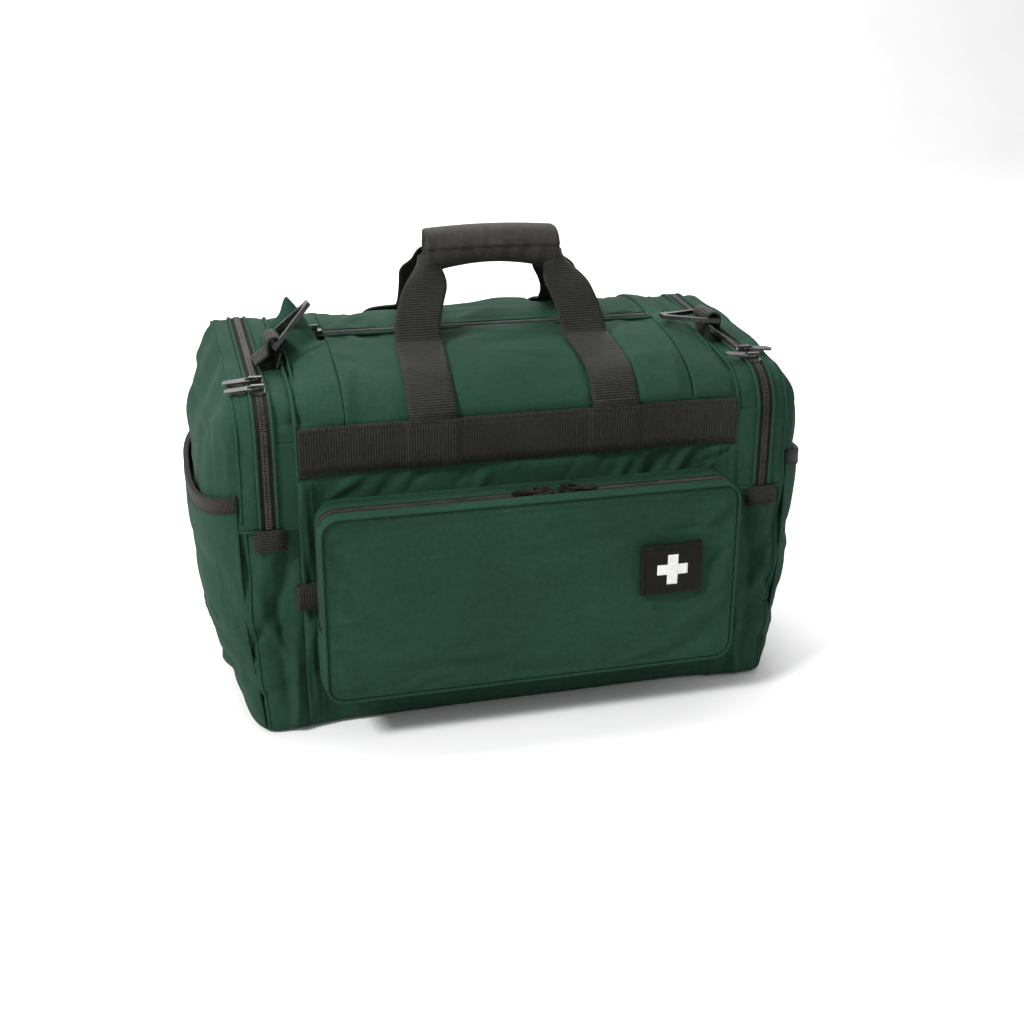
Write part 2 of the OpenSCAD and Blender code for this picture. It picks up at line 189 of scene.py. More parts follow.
def fbm(p, scale, seed, octaves=3):
    q = Vector(p) / scale + Vector((seed * 7.3, seed * 3.1, seed * 5.7))
    return noise.fractal(q, 0.9, 2.1, octaves)


def crumple(p, seed, size=1.0):
    """Soft swells and a fine grain, with a few faint slack lines."""
    q = Vector((p[0] * 0.5 + p[2] * 0.9, p[1], p[2] * 0.9 - p[0] * 0.5))
    broad = fbm(p, 0.10, seed, 2) * 2.6
    slack = fbm((q[0], q[1] * 0.6, q[2] * 0.35), 0.045, seed + 3, 2) * 1.1
    fine = fbm(q, 0.020, seed + 5, 2) * 0.35
    return (broad + slack + fine) * MM * size


def creases(seed, count, box, length=(45, 95), depth=(1.2, 2.6), tilt=(-0.5, 0.5), width=(3.5, 7)):
    """Separate straight creases, each (centre, direction, half length, width, depth), in a plane
    whose corners are the two points of box, in mm."""
    rng = np.random.default_rng(seed)
    (x0, z0), (x1, z1) = box
    out = []
    for _ in range(count):
        a = rng.uniform(*tilt)
        sign = 1 if rng.random() < 0.55 else -1
        out.append((rng.uniform(x0, x1), rng.uniform(z0, z1), math.cos(a), math.sin(a),
                    rng.uniform(*length) / 2, rng.uniform(*width), sign * rng.uniform(*depth),
                    rng.uniform(-0.012, 0.012)))
    return out


def crease_height(lines, a, b):
    """Height in metres of the creases at the place (a, b), in mm."""
    h = 0.0
    for x, z, cx, cz, half, width, depth, bend in lines:
        along = (a - x) * cx + (b - z) * cz
        if abs(along) < half * 1.25:
            across = -(a - x) * cz + (b - z) * cx + bend * along * along * 0.5
            w = width * (1 + 0.5 * along / half)
            g = math.exp(-(across / w) ** 2)
            h += depth * g * math.exp(-(along / half) ** 4)
    return h * MM


def edge_fade(f, width=0.06):
    return smooth(0, width, f) * smooth(0, width, 1 - f)


# ---- Meshes ----

def add_object(name, mesh, material):
    obj = bpy.data.objects.new(name, mesh)
    bpy.context.scene.collection.objects.link(obj)
    mesh.materials.append(material)
    for face in mesh.polygons:
        face.use_smooth = True
    return obj


def closed_mesh(name, verts, faces, material, uv_at=None):
    """Object with outward faces; uv_at gives a vertex's place on the cloth, in metres."""
    mesh = bpy.data.meshes.new(name)
    mesh.from_pydata([tuple(v) for v in verts], [], faces)
    mesh.update()
    if uv_at:
        uv = mesh.uv_layers.new(name="UVMap")
        for loop in mesh.loops:
            uv.data[loop.index].uv = uv_at(loop.vertex_index)
    bm = bmesh.new()
    bm.from_mesh(mesh)
    bmesh.ops.recalc_face_normals(bm, faces=bm.faces)
    bm.to_mesh(mesh)
    bm.free()
    return add_object(name, mesh, material)


def grid_normals(P):
    du = np.gradient(P, axis=0)
    dv = np.gradient(P, axis=1)
    n = np.cross(du, dv)
    size = np.linalg.norm(n, axis=2, keepdims=True)
    bad = size[..., 0] < 1e-14
    n = n / np.maximum(size, 1e-14)
    n[bad] = (0, 0, 0)
    return n


def grid_points(fn, nu, nv):
    return np.array([[fn(u, v)[:] for v in np.linspace(0, 1, nv)] for u in np.linspace(0, 1, nu)])


def solid_sheet(name, P, material, thick=CLOTH_T, normals=None):
    """Closed sheet: P is its outer face as a grid, and thick is its thickness."""
    nu, nv = P.shape[:2]
    n = grid_normals(P) if normals is None else normals
    verts = np.concatenate([P.reshape(-1, 3), (P - n * thick).reshape(-1, 3)])
    verts[:, 2] = np.maximum(verts[:, 2], FLOOR_GAP)
    idx = np.arange(nu * nv).reshape(nu, nv)
    off = nu * nv
    faces = []
    for i in range(nu - 1):
        for j in range(nv - 1):
            a, b, c, d = idx[i, j], idx[i + 1, j], idx[i + 1, j + 1], idx[i, j + 1]
            faces.append((a, b, c, d))
            faces.append((off + d, off + c, off + b, off + a))
    ring = list(idx[0, :]) + list(idx[1:, -1]) + list(idx[-1, -2::-1]) + list(idx[-2:0:-1, 0])
    for a, b in zip(ring, ring[1:] + ring[:1]):
        faces.append((a, b, off + b, off + a))
    su, sv = lengths(P[:, nv // 2]), lengths(P[nu // 2])
    faces = [tuple(int(k) for k in f) for f in faces]
    return closed_mesh(name, verts, faces, material,
                       lambda k: (su[k % off // nv], sv[k % off % nv]))


def displaced(P, seed, size=1.0, fade=0.06, extra=None, calm=None):
    """Moves a grid along its normals by the cloth folds, and not at its edges."""
    n = grid_normals(P)
    nu, nv = P.shape[:2]
    Q = P.copy()
    for i in range(nu):
        for j in range(nv):
            u, v = i / (nu - 1), j / (nv - 1)
            k = edge_fade(u, fade) * edge_fade(v, fade)
            d = crumple(P[i, j], seed, size) * k
            if extra:
                d += extra(u, v, P[i, j])
            if calm:
                d = mix(d, -1 * MM, calm(P[i, j]))
            Q[i, j] += n[i, j] * d
    return Q


def facing_out(P, centre):
    """The grid, turned over where its normals point towards the centre."""
    out = float((grid_normals(P) * (P - np.array(centre))).sum()) > 0
    return P if out else P[::-1]


CENTRE = (0, Y_MID, 150 * MM)


def panel(name, fn, size, nodes, seed, folds=1.0, extra=None, fade=0.06, calm=None):
    """One sewn panel of the bag: a grid over fn, folded and made solid."""
    P = displaced(facing_out(grid_points(fn, *size), CENTRE), seed, folds, fade, extra, calm)
    place(solid_sheet(name, P, GREEN), "bag", nodes)


def place(obj, body, nodes=(), blend=None):
    if nodes:
        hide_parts(*nodes)
    if blend:
        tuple(blend[2])
        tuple(blend[3])
        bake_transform(obj)
    else:
        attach(obj, body)
    return obj


# ---- Materials ----

def node_material(name, roughness, sheen=0.0, metallic=0.0, specular=0.5):
    mat = bpy.data.materials.new(name)
    mat.use_nodes = True
    bsdf = mat.node_tree.nodes["Principled BSDF"]
    bsdf.inputs["Roughness"].default_value = roughness
    bsdf.inputs["Metallic"].default_value = metallic
    bsdf.inputs["Specular IOR Level"].default_value = specular
    bsdf.inputs["Sheen Weight"].default_value = sheen
    bsdf.inputs["Sheen Roughness"].default_value = 0.45
    return mat, mat.node_tree, bsdf


# A wave texture repeats once in this length at scale 1, in metres
WAVE = 0.314159


def link_wave(tree, vector, scale, direction, distortion):
    wave = tree.nodes.new("ShaderNodeTexWave")
    wave.wave_type = "BANDS"
    wave.bands_direction = direction
    wave.inputs["Scale"].default_value = scale
    wave.inputs["Distortion"].default_value = distortion
    tree.links.new(vector, wave.inputs["Vector"])
    return wave


def link_noise(tree, vector, scale, detail=4.0):
    tex = tree.nodes.new("ShaderNodeTexNoise")
    tex.inputs["Scale"].default_value = scale
    tex.inputs["Detail"].default_value = detail
    tree.links.new(vector, tex.inputs["Vector"])
    return tex


def math_node(tree, op, *values):
    """Math node whose inputs are numbers or sockets."""
    node = tree.nodes.new("ShaderNodeMath")
    node.operation = op
    for k, value in enumerate(values):
        if isinstance(value, (int, float)):
            node.inputs[k].default_value = value
        else:
            tree.links.new(value, node.inputs[k])
    return node.outputs[0]


def muladd(tree, value, gain, add):
    return math_node(tree, "MULTIPLY_ADD", value, gain, add)


def ramp_node(tree, fac, stops):
    ramp = tree.nodes.new("ShaderNodeValToRGB")
    ramp.color_ramp.elements[0].position = stops[0][0]
    ramp.color_ramp.elements[0].color = (*stops[0][1], 1)
    ramp.color_ramp.elements[1].position = stops[-1][0]
    ramp.color_ramp.elements[1].color = (*stops[-1][1], 1)
    for pos, colour in stops[1:-1]:
        e = ramp.color_ramp.elements.new(pos)
        e.color = (*colour, 1)
    tree.links.new(fac, ramp.inputs["Fac"])
    return ramp.outputs["Color"]


def bump_node(tree, bsdf, height, strength, distance):
    bump = tree.nodes.new("ShaderNodeBump")
    bump.inputs["Strength"].default_value = strength
    bump.inputs["Distance"].default_value = distance
    tree.links.new(height, bump.inputs["Height"])
    tree.links.new(bump.outputs["Normal"], bsdf.inputs["Normal"])


def woven_material(name, dark, mid, light, roughness=0.8, sheen=0.25, thread=0.55 * MM):
    """Plain-woven cloth with slubs and uneven dye; the colour follows the cloth's height, so thread
    crowns and slubs are painted paler as painted highlight and the gaps between threads darker as
    painted shade.
    """
    mat, tree, bsdf = node_material(name, roughness, sheen, specular=0.09)
    coord = tree.nodes.new("ShaderNodeTexCoord")
    uv = coord.outputs["UV"]
    spot = coord.outputs["Object"]
    scale = WAVE / thread
    warp = link_wave(tree, uv, scale, "X", 0.6)
    weft = link_wave(tree, uv, scale, "Y", 0.6)
    weave_relief_and_highlight = math_node(tree, "MULTIPLY", warp.outputs["Fac"], weft.outputs["Fac"])
    dye = link_noise(tree, spot, 9, 6)
    slub = link_noise(tree, spot, 260, 2)
    # Slubs and threads also set the bump height below, so raised places are painted paler: painted
    # highlight, with painted shade in the gaps.
    tone = muladd(tree, slub.outputs["Fac"], 0.30, 0.1)
    tone = muladd(tree, dye.outputs["Fac"], 0.42, tone)
    tone = muladd(tree, weave_relief_and_highlight, 0.14, tone)
    colour = ramp_node(tree, tone, [(0.30, dark), (0.50, mid), (0.78, light)])
    tree.links.new(colour, bsdf.inputs["Base Color"])
    height = muladd(tree, slub.outputs["Fac"], 0.5, weave_relief_and_highlight)
    bump_node(tree, bsdf, height, 0.35, 0.25 * MM)
    bsdf.inputs["Sheen Tint"].default_value = (*light, 1)
    return mat


def webbing_material(name, dark, light, rib=2.2 * MM):
    """Ribbed webbing: the ribs run across it and repeat along U; their crests and the yarn tops are
    painted lighter than the hollows, as painted highlight.
    """
    mat, tree, bsdf = node_material(name, 0.72, 0.04, specular=0.18)
    coord = tree.nodes.new("ShaderNodeTexCoord")
    uv = coord.outputs["UV"]
    ribs = link_wave(tree, uv, WAVE / rib, "X", 0.0)
    yarn = link_wave(tree, uv, WAVE / (0.5 * rib), "Y", 0.8)
    slub = link_noise(tree, coord.outputs["Object"], 420, 3)
    patchy = link_noise(tree, coord.outputs["Object"], 45, 3)
    fine = math_node(tree, "MULTIPLY", yarn.outputs["Fac"], slub.outputs["Fac"])
    # Rib crests painted much lighter, broken up by the slub noise: painted highlight.
    line = math_node(tree, "POWER", ribs.outputs["Fac"], 3.0)
    line = math_node(tree, "MULTIPLY", line, slub.outputs["Fac"])
    tone = muladd(tree, patchy.outputs["Fac"], 0.25, 0.0)
    tone = muladd(tree, fine, 0.22, tone)
    tone = muladd(tree, line, 1.0, tone)
    colour = ramp_node(tree, tone, [(0.12, dark), (0.72, light)])
    tree.links.new(colour, bsdf.inputs["Base Color"])
    height = muladd(tree, fine, 0.4, ribs.outputs["Fac"])
    bump_node(tree, bsdf, height, 0.6, 0.4 * MM)
    return mat


def hard_material(name, colour, worn, roughness, metallic):
    mat, tree, bsdf = node_material(name, roughness, metallic=metallic)
    coord = tree.nodes.new("ShaderNodeTexCoord")
    grain = link_noise(tree, coord.outputs["Object"], 260, 4)
    patchy = link_noise(tree, coord.outputs["Object"], 60, 3)
    tone = muladd(tree, grain.outputs["Fac"], 0.4, patchy.outputs["Fac"])
    colour_out = ramp_node(tree, tone, [(0.55, colour), (0.85, worn)])
    tree.links.new(colour_out, bsdf.inputs["Base Color"])
    rough = muladd(tree, grain.outputs["Fac"], 0.25, roughness - 0.1)
    tree.links.new(rough, bsdf.inputs["Roughness"])
    bump_node(tree, bsdf, grain.outputs["Fac"], 0.2, 0.05 * MM)
    return mat


GREEN = woven_material("pack_cloth_green", (0.0084, 0.0283, 0.018), (0.0122, 0.039, 0.0250),
                       (0.0190, 0.059, 0.0395), sheen=0.04)
LINING = woven_material("lining_green", (0.008, 0.03, 0.02), (0.012, 0.042, 0.029),
                        (0.02, 0.06, 0.045), roughness=0.9)
PAD_GREY = woven_material("divider_grey", (0.05, 0.053, 0.053), (0.08, 0.085, 0.085),
                          (0.13, 0.135, 0.135), roughness=0.95, thread=0.9 * MM)
SLEEVE = woven_material("sleeve_charcoal", (0.015, 0.0143, 0.0122), (0.026, 0.025, 0.0215),
                        (0.046, 0.044, 0.038), roughness=0.68, sheen=0.3, thread=0.4 * MM)
WEBBING = webbing_material("webbing_charcoal", (0.0033, 0.0034, 0.0026),
                           (0.027, 0.0275, 0.021))
BINDING = webbing_material("binding_black", (0.004, 0.0038, 0.0036), (0.02, 0.018, 0.016),
                           rib=1.2 * MM)
TAPE = woven_material("zip_tape", (0.006, 0.006, 0.0058), (0.010, 0.0095, 0.009),
                      (0.02, 0.019, 0.018), roughness=0.85, sheen=0.04, thread=0.5 * MM)
COIL = hard_material("coil_nylon", (0.006, 0.0055, 0.005), (0.024, 0.021, 0.020), 0.55, 0.0)
METAL = hard_material("zip_enamel", (0.008, 0.008, 0.0085), (0.05, 0.05, 0.05), 0.3, 0.5)
RING_METAL = hard_material("ring_enamel", (0.009, 0.009, 0.0095), (0.045, 0.045, 0.045), 0.34, 0.5)
BOARD = hard_material("board_black", (0.02, 0.02, 0.02), (0.05, 0.05, 0.05), 0.55, 0.0)
THREAD = woven_material("thread_green", (0.008, 0.03, 0.02), (0.012, 0.043, 0.03),
                        (0.02, 0.062, 0.045), roughness=0.7, thread=0.3 * MM)
THREAD_BLACK = woven_material("thread_black", (0.008, 0.008, 0.008), (0.016, 0.015, 0.015),
                              (0.05, 0.047, 0.044), roughness=0.7, thread=0.3 * MM)
WHITE = woven_material("patch_white", (0.5, 0.5, 0.49), (0.68, 0.68, 0.66), (0.8, 0.8, 0.78),
                       roughness=0.8, thread=0.5 * MM)


# ---- Frames along a run: points with their across and up directions ----

class Run:
    """A run of points, with directions across and up: one for all of them, or one for each."""

    def __init__(self, points, across, up):
        self.p = np.array(points, float)
        self.a = np.broadcast_to(np.array(across, float), self.p.shape)
        self.n = np.broadcast_to(np.array(up, float), self.p.shape)
        self.s = lengths(self.p)
        self.length = self.s[-1]

    def at(self, d):
        out = []
        for arr in (self.p, self.a, self.n):
            out.append(np.array([np.interp(d, self.s, arr[:, k]) for k in range(3)]))
        return out

    def moved(self, across=0.0, up=0.0):
        return Run(self.p + self.a * across + self.n * up, self.a, self.n)

    def part(self, d0, d1, n=60):
        got = [self.at(d) for d in np.linspace(d0, d1, n)]
        return Run(*[[g[k] for g in got] for k in range(3)])


def arch_run(x, side, n=140):
    """Along an end's arch, across pointing away from the bag's middle."""
    pts, ups = [], []
    for f in np.linspace(0, 1, n):
        y, z = ARCH.at(f)
        ny, nz = ARCH.normal(f)
        pts.append((side * x, y, z))
        ups.append((0, ny, nz))
    return Run(pts, (side, 0, 0), ups)


def round_run(x, t0, t1, n=100):
    """Round the bag at x, across pointing along +X."""
    pts, ups = [], []
    for t in np.linspace(t0, t1, n):
        p = np.array(section(x, t))
        d = np.array(section(x, min(3.999, t + 0.01))) - np.array(section(x, max(0, t - 0.01)))
        pts.append(p)
        ups.append(np.cross((1, 0, 0), d / np.linalg.norm(d)))
    ups = np.array(ups)
    return Run(pts, (1, 0, 0), ups / np.linalg.norm(ups, axis=1, keepdims=True))


def strip(name, run, w0, w1, material, lift=0.0, thick=1 * MM, n_across=4):
    """Flat tape along the run, from w0 to w1 across it."""
    P = np.zeros((len(run.p), n_across, 3))
    for j, v in enumerate(np.linspace(0, 1, n_across)):
        P[:, j] = run.p + run.a * mix(w0, w1, v) + run.n * lift
    n = np.repeat(run.n[:, None, :], n_across, axis=1)
    return solid_sheet(name, P, material, thick, normals=n)


RING6 = [(math.cos(a), math.sin(a)) for a in np.arange(6) * math.pi / 3]


def beads(name, items, material):
    """Small rounded bodies: each is a centre and three half-axes."""
    verts, faces = [], []
    for c, a, b, n in items:
        k = len(verts)
        verts.append(c - a)
        for s, r in ((-0.62, 0.8), (0.62, 0.8)):
            verts += [c + a * s + (b * p + n * q) * r / 0.8 for p, q in RING6]
        verts.append(c + a)
        for i in range(6):
            j = (i + 1) % 6
            faces += [(k, k + 1 + j, k + 1 + i), (k + 13, k + 7 + i, k + 7 + j),
                      (k + 1 + i, k + 1 + j, k + 7 + j, k + 7 + i)]
    return closed_mesh(name, verts, faces, material)


def steps(run, pitch):
    """Places along a run at a pitch: each is a point, across, up and the run's direction."""
    d = pitch / 2
    while d < run.length:
        p, a, n = run.at(d)
        t = np.cross(a, n)
        yield p, a, n, t / np.linalg.norm(t)
        d += pitch


def stitch_items(run, pitch=3.4 * MM, long=1.15 * MM, thick=0.32 * MM):
    return [(p + n * thick * 0.3, t * long, a * thick, n * thick)
            for p, a, n, t in steps(run, pitch)]


def sew(name, run, body, pitch=3.4 * MM):
    """Row of dark stitches along the run."""
    place(beads(name, stitch_items(run, pitch), THREAD_BLACK), body)


def coil_items(run, toward, pitch):
    """Teeth of one coil row whose chain edge lies on the run; toward is its side."""
    return [(p + a * toward * 1.3 * MM + n * 0.75 * MM, a * 1.75 * MM, t * 0.68 * MM,
             n * 0.85 * MM) for p, a, n, t in steps(run, pitch)]


def zip_half(prefix, suffix, run, toward, body, nodes, inner, outer, lift=0.9 * MM, up=0.4 * MM,
             pitch=1.7 * MM):
    """Tape and teeth on one side of a zip; the tape is inner to outer away from its line."""
    tape = strip(f"{prefix}_tape_{suffix}", run, toward * inner, toward * outer, TAPE, lift=lift)
    place(tape, body, nodes)
    coil = coil_items(run.moved(up=up), toward, pitch)
    place(beads(f"{prefix}_coil_{suffix}", coil, COIL), body)


def lofted(name, rings, material, uv_at):
    """Skin over rings of points, closed at both ends; uv_at takes a ring and a place in it."""
    n, sides = len(rings), len(rings[0])
    faces = []
    for i in range(n - 1):
        for j in range(sides):
            k = (j + 1) % sides
            faces.append((i * sides + j, i * sides + k, (i + 1) * sides + k, (i + 1) * sides + j))
    faces.append(tuple(range(sides)))
    faces.append(tuple(range((n - 1) * sides, n * sides))[::-1])
    return closed_mesh(name, [p for ring in rings for p in ring], faces, material,
                       lambda k: uv_at(*divmod(k, sides)))


TUBE_SIDES = 10
PIPING_ROUND = 2 * math.pi * 1.5 * MM


def tube(name, points, radius, body, blend=None):
    """Round green piping through the points."""
    P = np.array(points, float)
    rings = []
    out = None
    for i in range(len(P)):
        t = P[min(len(P) - 1, i + 1)] - P[max(0, i - 1)]
        t = t / np.linalg.norm(t)
        if out is None:
            out = np.cross(t, (0, 0, 1) if abs(t[2]) < 0.9 else (1, 0, 0))
        out = out - t * out.dot(t)
        out /= np.linalg.norm(out)
        q = np.cross(t, out)
        rings.append([P[i] + radius * (out * math.cos(w) + q * math.sin(w))
                      for w in np.arange(TUBE_SIDES) * 2 * math.pi / TUBE_SIDES])
    step = lengths(P)
    place(lofted(name, rings, GREEN, lambda i, j: (step[i], j / TUBE_SIDES * PIPING_ROUND)),
          body, blend=blend)


# ---- Shapes of the ends ----

# Power of the rounded outline of an end, and how far it stands out
END_N = 3.0
END_D = 46 * MM
HALF_W = (END_Y1 - END_Y0) / 2
# Fraction of the shell's plan at each side that is flat, beside the zip
CHEEK = 0.12
# Place of the piped seam, as a fraction of the way from an end's rim to its middle
SEAM_E = 0.145
# Width of zip tape that shows beside the teeth at the ends
TAPE_W = 6.2 * MM


def end_depth(z):
    """How far an end stands out beyond its zip at height z: it sags most above the middle."""
    full = END_D + 4 * MM * math.exp(-((z - 160 * MM) / (60 * MM)) ** 2)
    return mix(24 * MM, full, smooth(-10 * MM, 110 * MM, z))


def super_point(e):
    """(fraction out from the middle, fraction of the depth) for e from 0, the rim, to 1."""
    a = e * math.pi / 2
    return math.cos(a) ** (2 / END_N), math.sin(a) ** (2 / END_N)


def cover_point(side, a, e):
    s, h = super_point(e)
    y, z = ARCH.at(a)
    c = np.array([Y_MID, END_FOLD])
    p = c + s * (np.array([y, z]) - c)
    depth = end_depth(END_FOLD) - 7 * MM
    droop = 17 * MM * smooth(0.3, 0.8, h) * smooth(END_FOLD + 30 * MM, ARCH_TOP, p[1])
    return Vector((side * (ZIP_X + TAPE_W - 0.6 * MM + depth * h), p[0], p[1] - droop))


def shell_point(side, v, z):
    """Lower end: v goes 0 to 1 in plan from the front seam round to the rear seam."""
    w = (HALF_W - tuck(z)) * (-1 if v < 0.5 else 1)
    if v < CHEEK or v > 1 - CHEEK:
        f = min(v, 1 - v) / CHEEK
        x = mix(HALF + 4 * MM, ZIP_X, f)
        edge = section(side * x, z / FOLD if v < 0.5 else 4 - z / FOLD)
        return Vector((side * x, mix(edge.y, Y_MID + w, f), z))
    g = (v - CHEEK) / (1 - 2 * CHEEK)
    s, h = super_point(1 - abs(2 * g - 1))
    return Vector((side * (ZIP_X + end_depth(z) * h), Y_MID + s * w, z))


# ---- Static cloth on the bag ----

def band_calm(p):
    """1 under the band, where the cloth is held flat, and 0 away from it."""
    return smooth(BAND_LOW - 7 * MM, BAND_LOW, p[2]) * (1 - smooth(BAND_TOP, BAND_TOP + 6 * MM, p[2]))


STRIP_LINES = creases(4, 26, ((-170, 199), (170, 222)), (22, 46), (1.0, 2.4), (0.45, 1.1), (2.6, 4.5))
SIDE_LINES = creases(6, 10, ((-182, 20), (-172, 200)), (40, 80), (1.0, 2.0), (1.2, 1.9), (2.5, 4)) \
    + creases(7, 10, ((172, 20), (182, 200)), (40, 80), (1.0, 2.0), (1.2, 1.9), (2.5, 4)) \
    + creases(8, 8, ((-160, 12), (160, 34)), (40, 90), (1.0, 2.4), (-0.25, 0.25), (3, 5))


def front_drapes(u, v, p):
    """Slant drag lines between the band and the pocket, and a soft swell at each side."""
    x, z = p[0] / MM, p[2] / MM
    above = math.exp(-((z - 208) / 13) ** 2)
    slant = math.sin((x + 0.9 * z) / 29 + 1.3 * math.sin(x / 41)) * 1.0 * above
    side = math.exp(-((abs(x) - 178) / 10) ** 2) * (2.5 + 1.5 * math.sin(z / 19 + x))
    low = math.exp(-((z - 22) / 14) ** 2) * (1.5 + 1.2 * math.sin(x / 23))
    lines = crease_height(STRIP_LINES, x, z) + crease_height(SIDE_LINES, x, z)
    return (slant + side * smooth(0, 30, z) + low) * MM + lines * edge_fade(u, 0.02)


# The front and rear panels stop just short of the fold, where a flap's lower edge covers them
panel("front_skin", lambda u, v: section(mix(-HALF - 4 * MM, HALF + 4 * MM, u), v * 0.985),
      (150, 100), ["front_panel"], seed=1, folds=0.9, extra=front_drapes, calm=band_calm)
panel("rear_skin", lambda u, v: section(mix(-HALF - 4 * MM, HALF + 4 * MM, u), 3.015 + 0.985 * v),
      (110, 70), ["rear_panel"], seed=2,
      extra=lambda u, v, p: front_drapes(u, v, p) * 0.8, calm=band_calm)


def bottom_point(u, v):
    """Outline of the bag on the floor, its ends rounded."""
    x_end = ZIP_X + end_depth(0)
    x = mix(-x_end, x_end, u)
    over = max(0.0, abs(x) - ZIP_X) / (x_end - ZIP_X)
    s = max(0.0, 1 - over ** END_N) ** (1 / END_N)
    front = section(x, 0).y
    rear = section(x, 4).y
    mid = (front + rear) / 2
    return Vector((x, mid + (rear - front) / 2 * s * (2 * v - 1), 0.4 * MM))


bottom = solid_sheet("bottom_skin", grid_points(bottom_point, 90, 40), GREEN, 3 * MM,
                     normals=np.tile((0, 0, -1.0), (90, 40, 1)))
place(bottom, "bag", ["bottom_panel"])


PEAK_X, PEAK_Y, PEAK_H = -172, 20, 40


def peak(p):
    """Pinched tuck of cloth standing at the left end of the zip."""
    dx, dy = p[0] / MM - PEAK_X, p[1] / MM - PEAK_Y
    r = math.hypot(dx / (27 if dx > 0 else 37), (dy + 3) / 24)
    ridge = PEAK_H * max(0.0, 1 - r) ** 1.05 * smooth(-29, -20, dx)
    hollow = -5 * math.exp(-((dx - 24) / 9) ** 2 - ((dy + 2) / 13) ** 2)
    pull = 3 * math.exp(-((dx - dy * 0.5) / 7) ** 2) * smooth(-75, -20, dy) * (1 - smooth(-20, 5, dy))
    return (ridge + hollow + pull) * MM


def top_end(side, name):
    def fn(u, v):
        p = section(side * mix(FLAP_X + 0.5 * MM, ZIP_X - 6 * MM, u), mix(0.93, 3.07, v))
        if side < 0:
            p.z += peak(p)
        return p

    def puckers(u, v, p):
        seam = math.exp(-((abs(p[0]) - 181 * MM) / (5 * MM)) ** 2)
        run = (p[1] + p[2]) / MM
        return (-2.2 * seam + 0.7 * math.sin(run / 7) * seam
                + 0.9 * math.sin(run / 23 + side) * edge_fade(u, 0.2)) * MM

    panel(f"{name}_top_skin", fn, (36, 190), [f"{name}_top_strip", f"{name}_end_gusset"],
          seed=11 + side, extra=puckers, fade=0.03, calm=band_calm)
    # The round of the corner below the fold, between the panels and the zip
    for tag, t0, t1 in (("front", 0.66, 0.95), ("rear", 3.05, 3.34)):
        panel(f"{name}_corner_{tag}", lambda u, v, a=t0, b=t1: section(
            side * mix(HALF + 1 * MM, ZIP_X - 6 * MM, u), mix(a, b, v)),
            (12, 40), [], seed=31, folds=0.3)


for end in ENDS:
    top_end(*end)


# Creases on each end's lower and upper cloth, by millimetres round it and up it
SHELL_LINES = creases(21, 16, ((0, 20), (110, 165)), (50, 120), (1.6, 3.4), (0.9, 2.0), (4, 8)) \
    + creases(22, 7, ((5, 25), (100, 70)), (50, 90), (2.0, 3.6), (-0.5, 0.7), (4, 8))
COVER_LINES = creases(23, 12, ((0, 15), (100, 95)), (40, 80), (0.8, 1.8), (0.7, 2.2), (4, 8))


SHELL_N, COVER_N = 150, 44
# The cover stops just short of the middle of the end
COVER_SPAN = 0.985


def end_centre(side):
    return side * 120 * MM, Y_MID, 120 * MM


def end_shell(side, name):
    """Lower end of the bag; returns its folded grid."""
    def sag_folds(u, v, p):
        """Heavy vertical folds where the side pocket pulls, and rolls near the floor."""
        g = 2 * u - 1
        z = p[2] / MM
        roll = math.exp(-((z - 45 - 14 * math.sin(5 * g)) / 12) ** 2)
        crease = -0.8 * math.exp(-((z - 78 - 20 * g) / 6) ** 2)
        lines = crease_height(SHELL_LINES, 220 * min(u, 1 - u), z)
        return ((0.96 * roll + crease) * MM + lines) * edge_fade(u, 0.05) * edge_fade(v, 0.06)

    shell = grid_points(lambda u, v: shell_point(side, u, v * END_FOLD), SHELL_N, 70)
    shell = displaced(facing_out(shell, end_centre(side)), 21 + side, 1.3, 0.03, sag_folds)
    place(solid_sheet(f"{name}_shell_skin", shell, GREEN), "bag", [f"{name}_end_shell"])
    return shell


def end_cover(side, name):
    """Upper end of the bag, which folds down, and the piped seam round it."""
    def folds(u, v, p):
        z = p[2] / MM
        pull = math.sin(p[1] / MM / 12 + z / 30) * 1.2 * edge_fade(v, 0.25)
        hang = math.exp(-((z - 215) / 18) ** 2) * 1.2 * smooth(0.3, 0.6, v)
        lines = crease_height(COVER_LINES, 100 * v, 200 * min(u, 1 - u))
        return ((pull + hang) * MM + lines) * edge_fade(u, 0.04) * edge_fade(v, 0.1)

    P = grid_points(lambda u, v: cover_point(side, u, v * COVER_SPAN), SHELL_N, COVER_N)
    P = displaced(facing_out(P, end_centre(side)), 41 + side, 1.0, 0.05, folds)
    place(solid_sheet(f"{name}_cover_skin", P, GREEN), f"{name}_cover", [f"{name}_end_cover"])
    column = round(SEAM_E / COVER_SPAN * (COVER_N - 1))
    tube(f"{name}_cover_piping", P[2:-2, column], 1.4 * MM, f"{name}_cover")


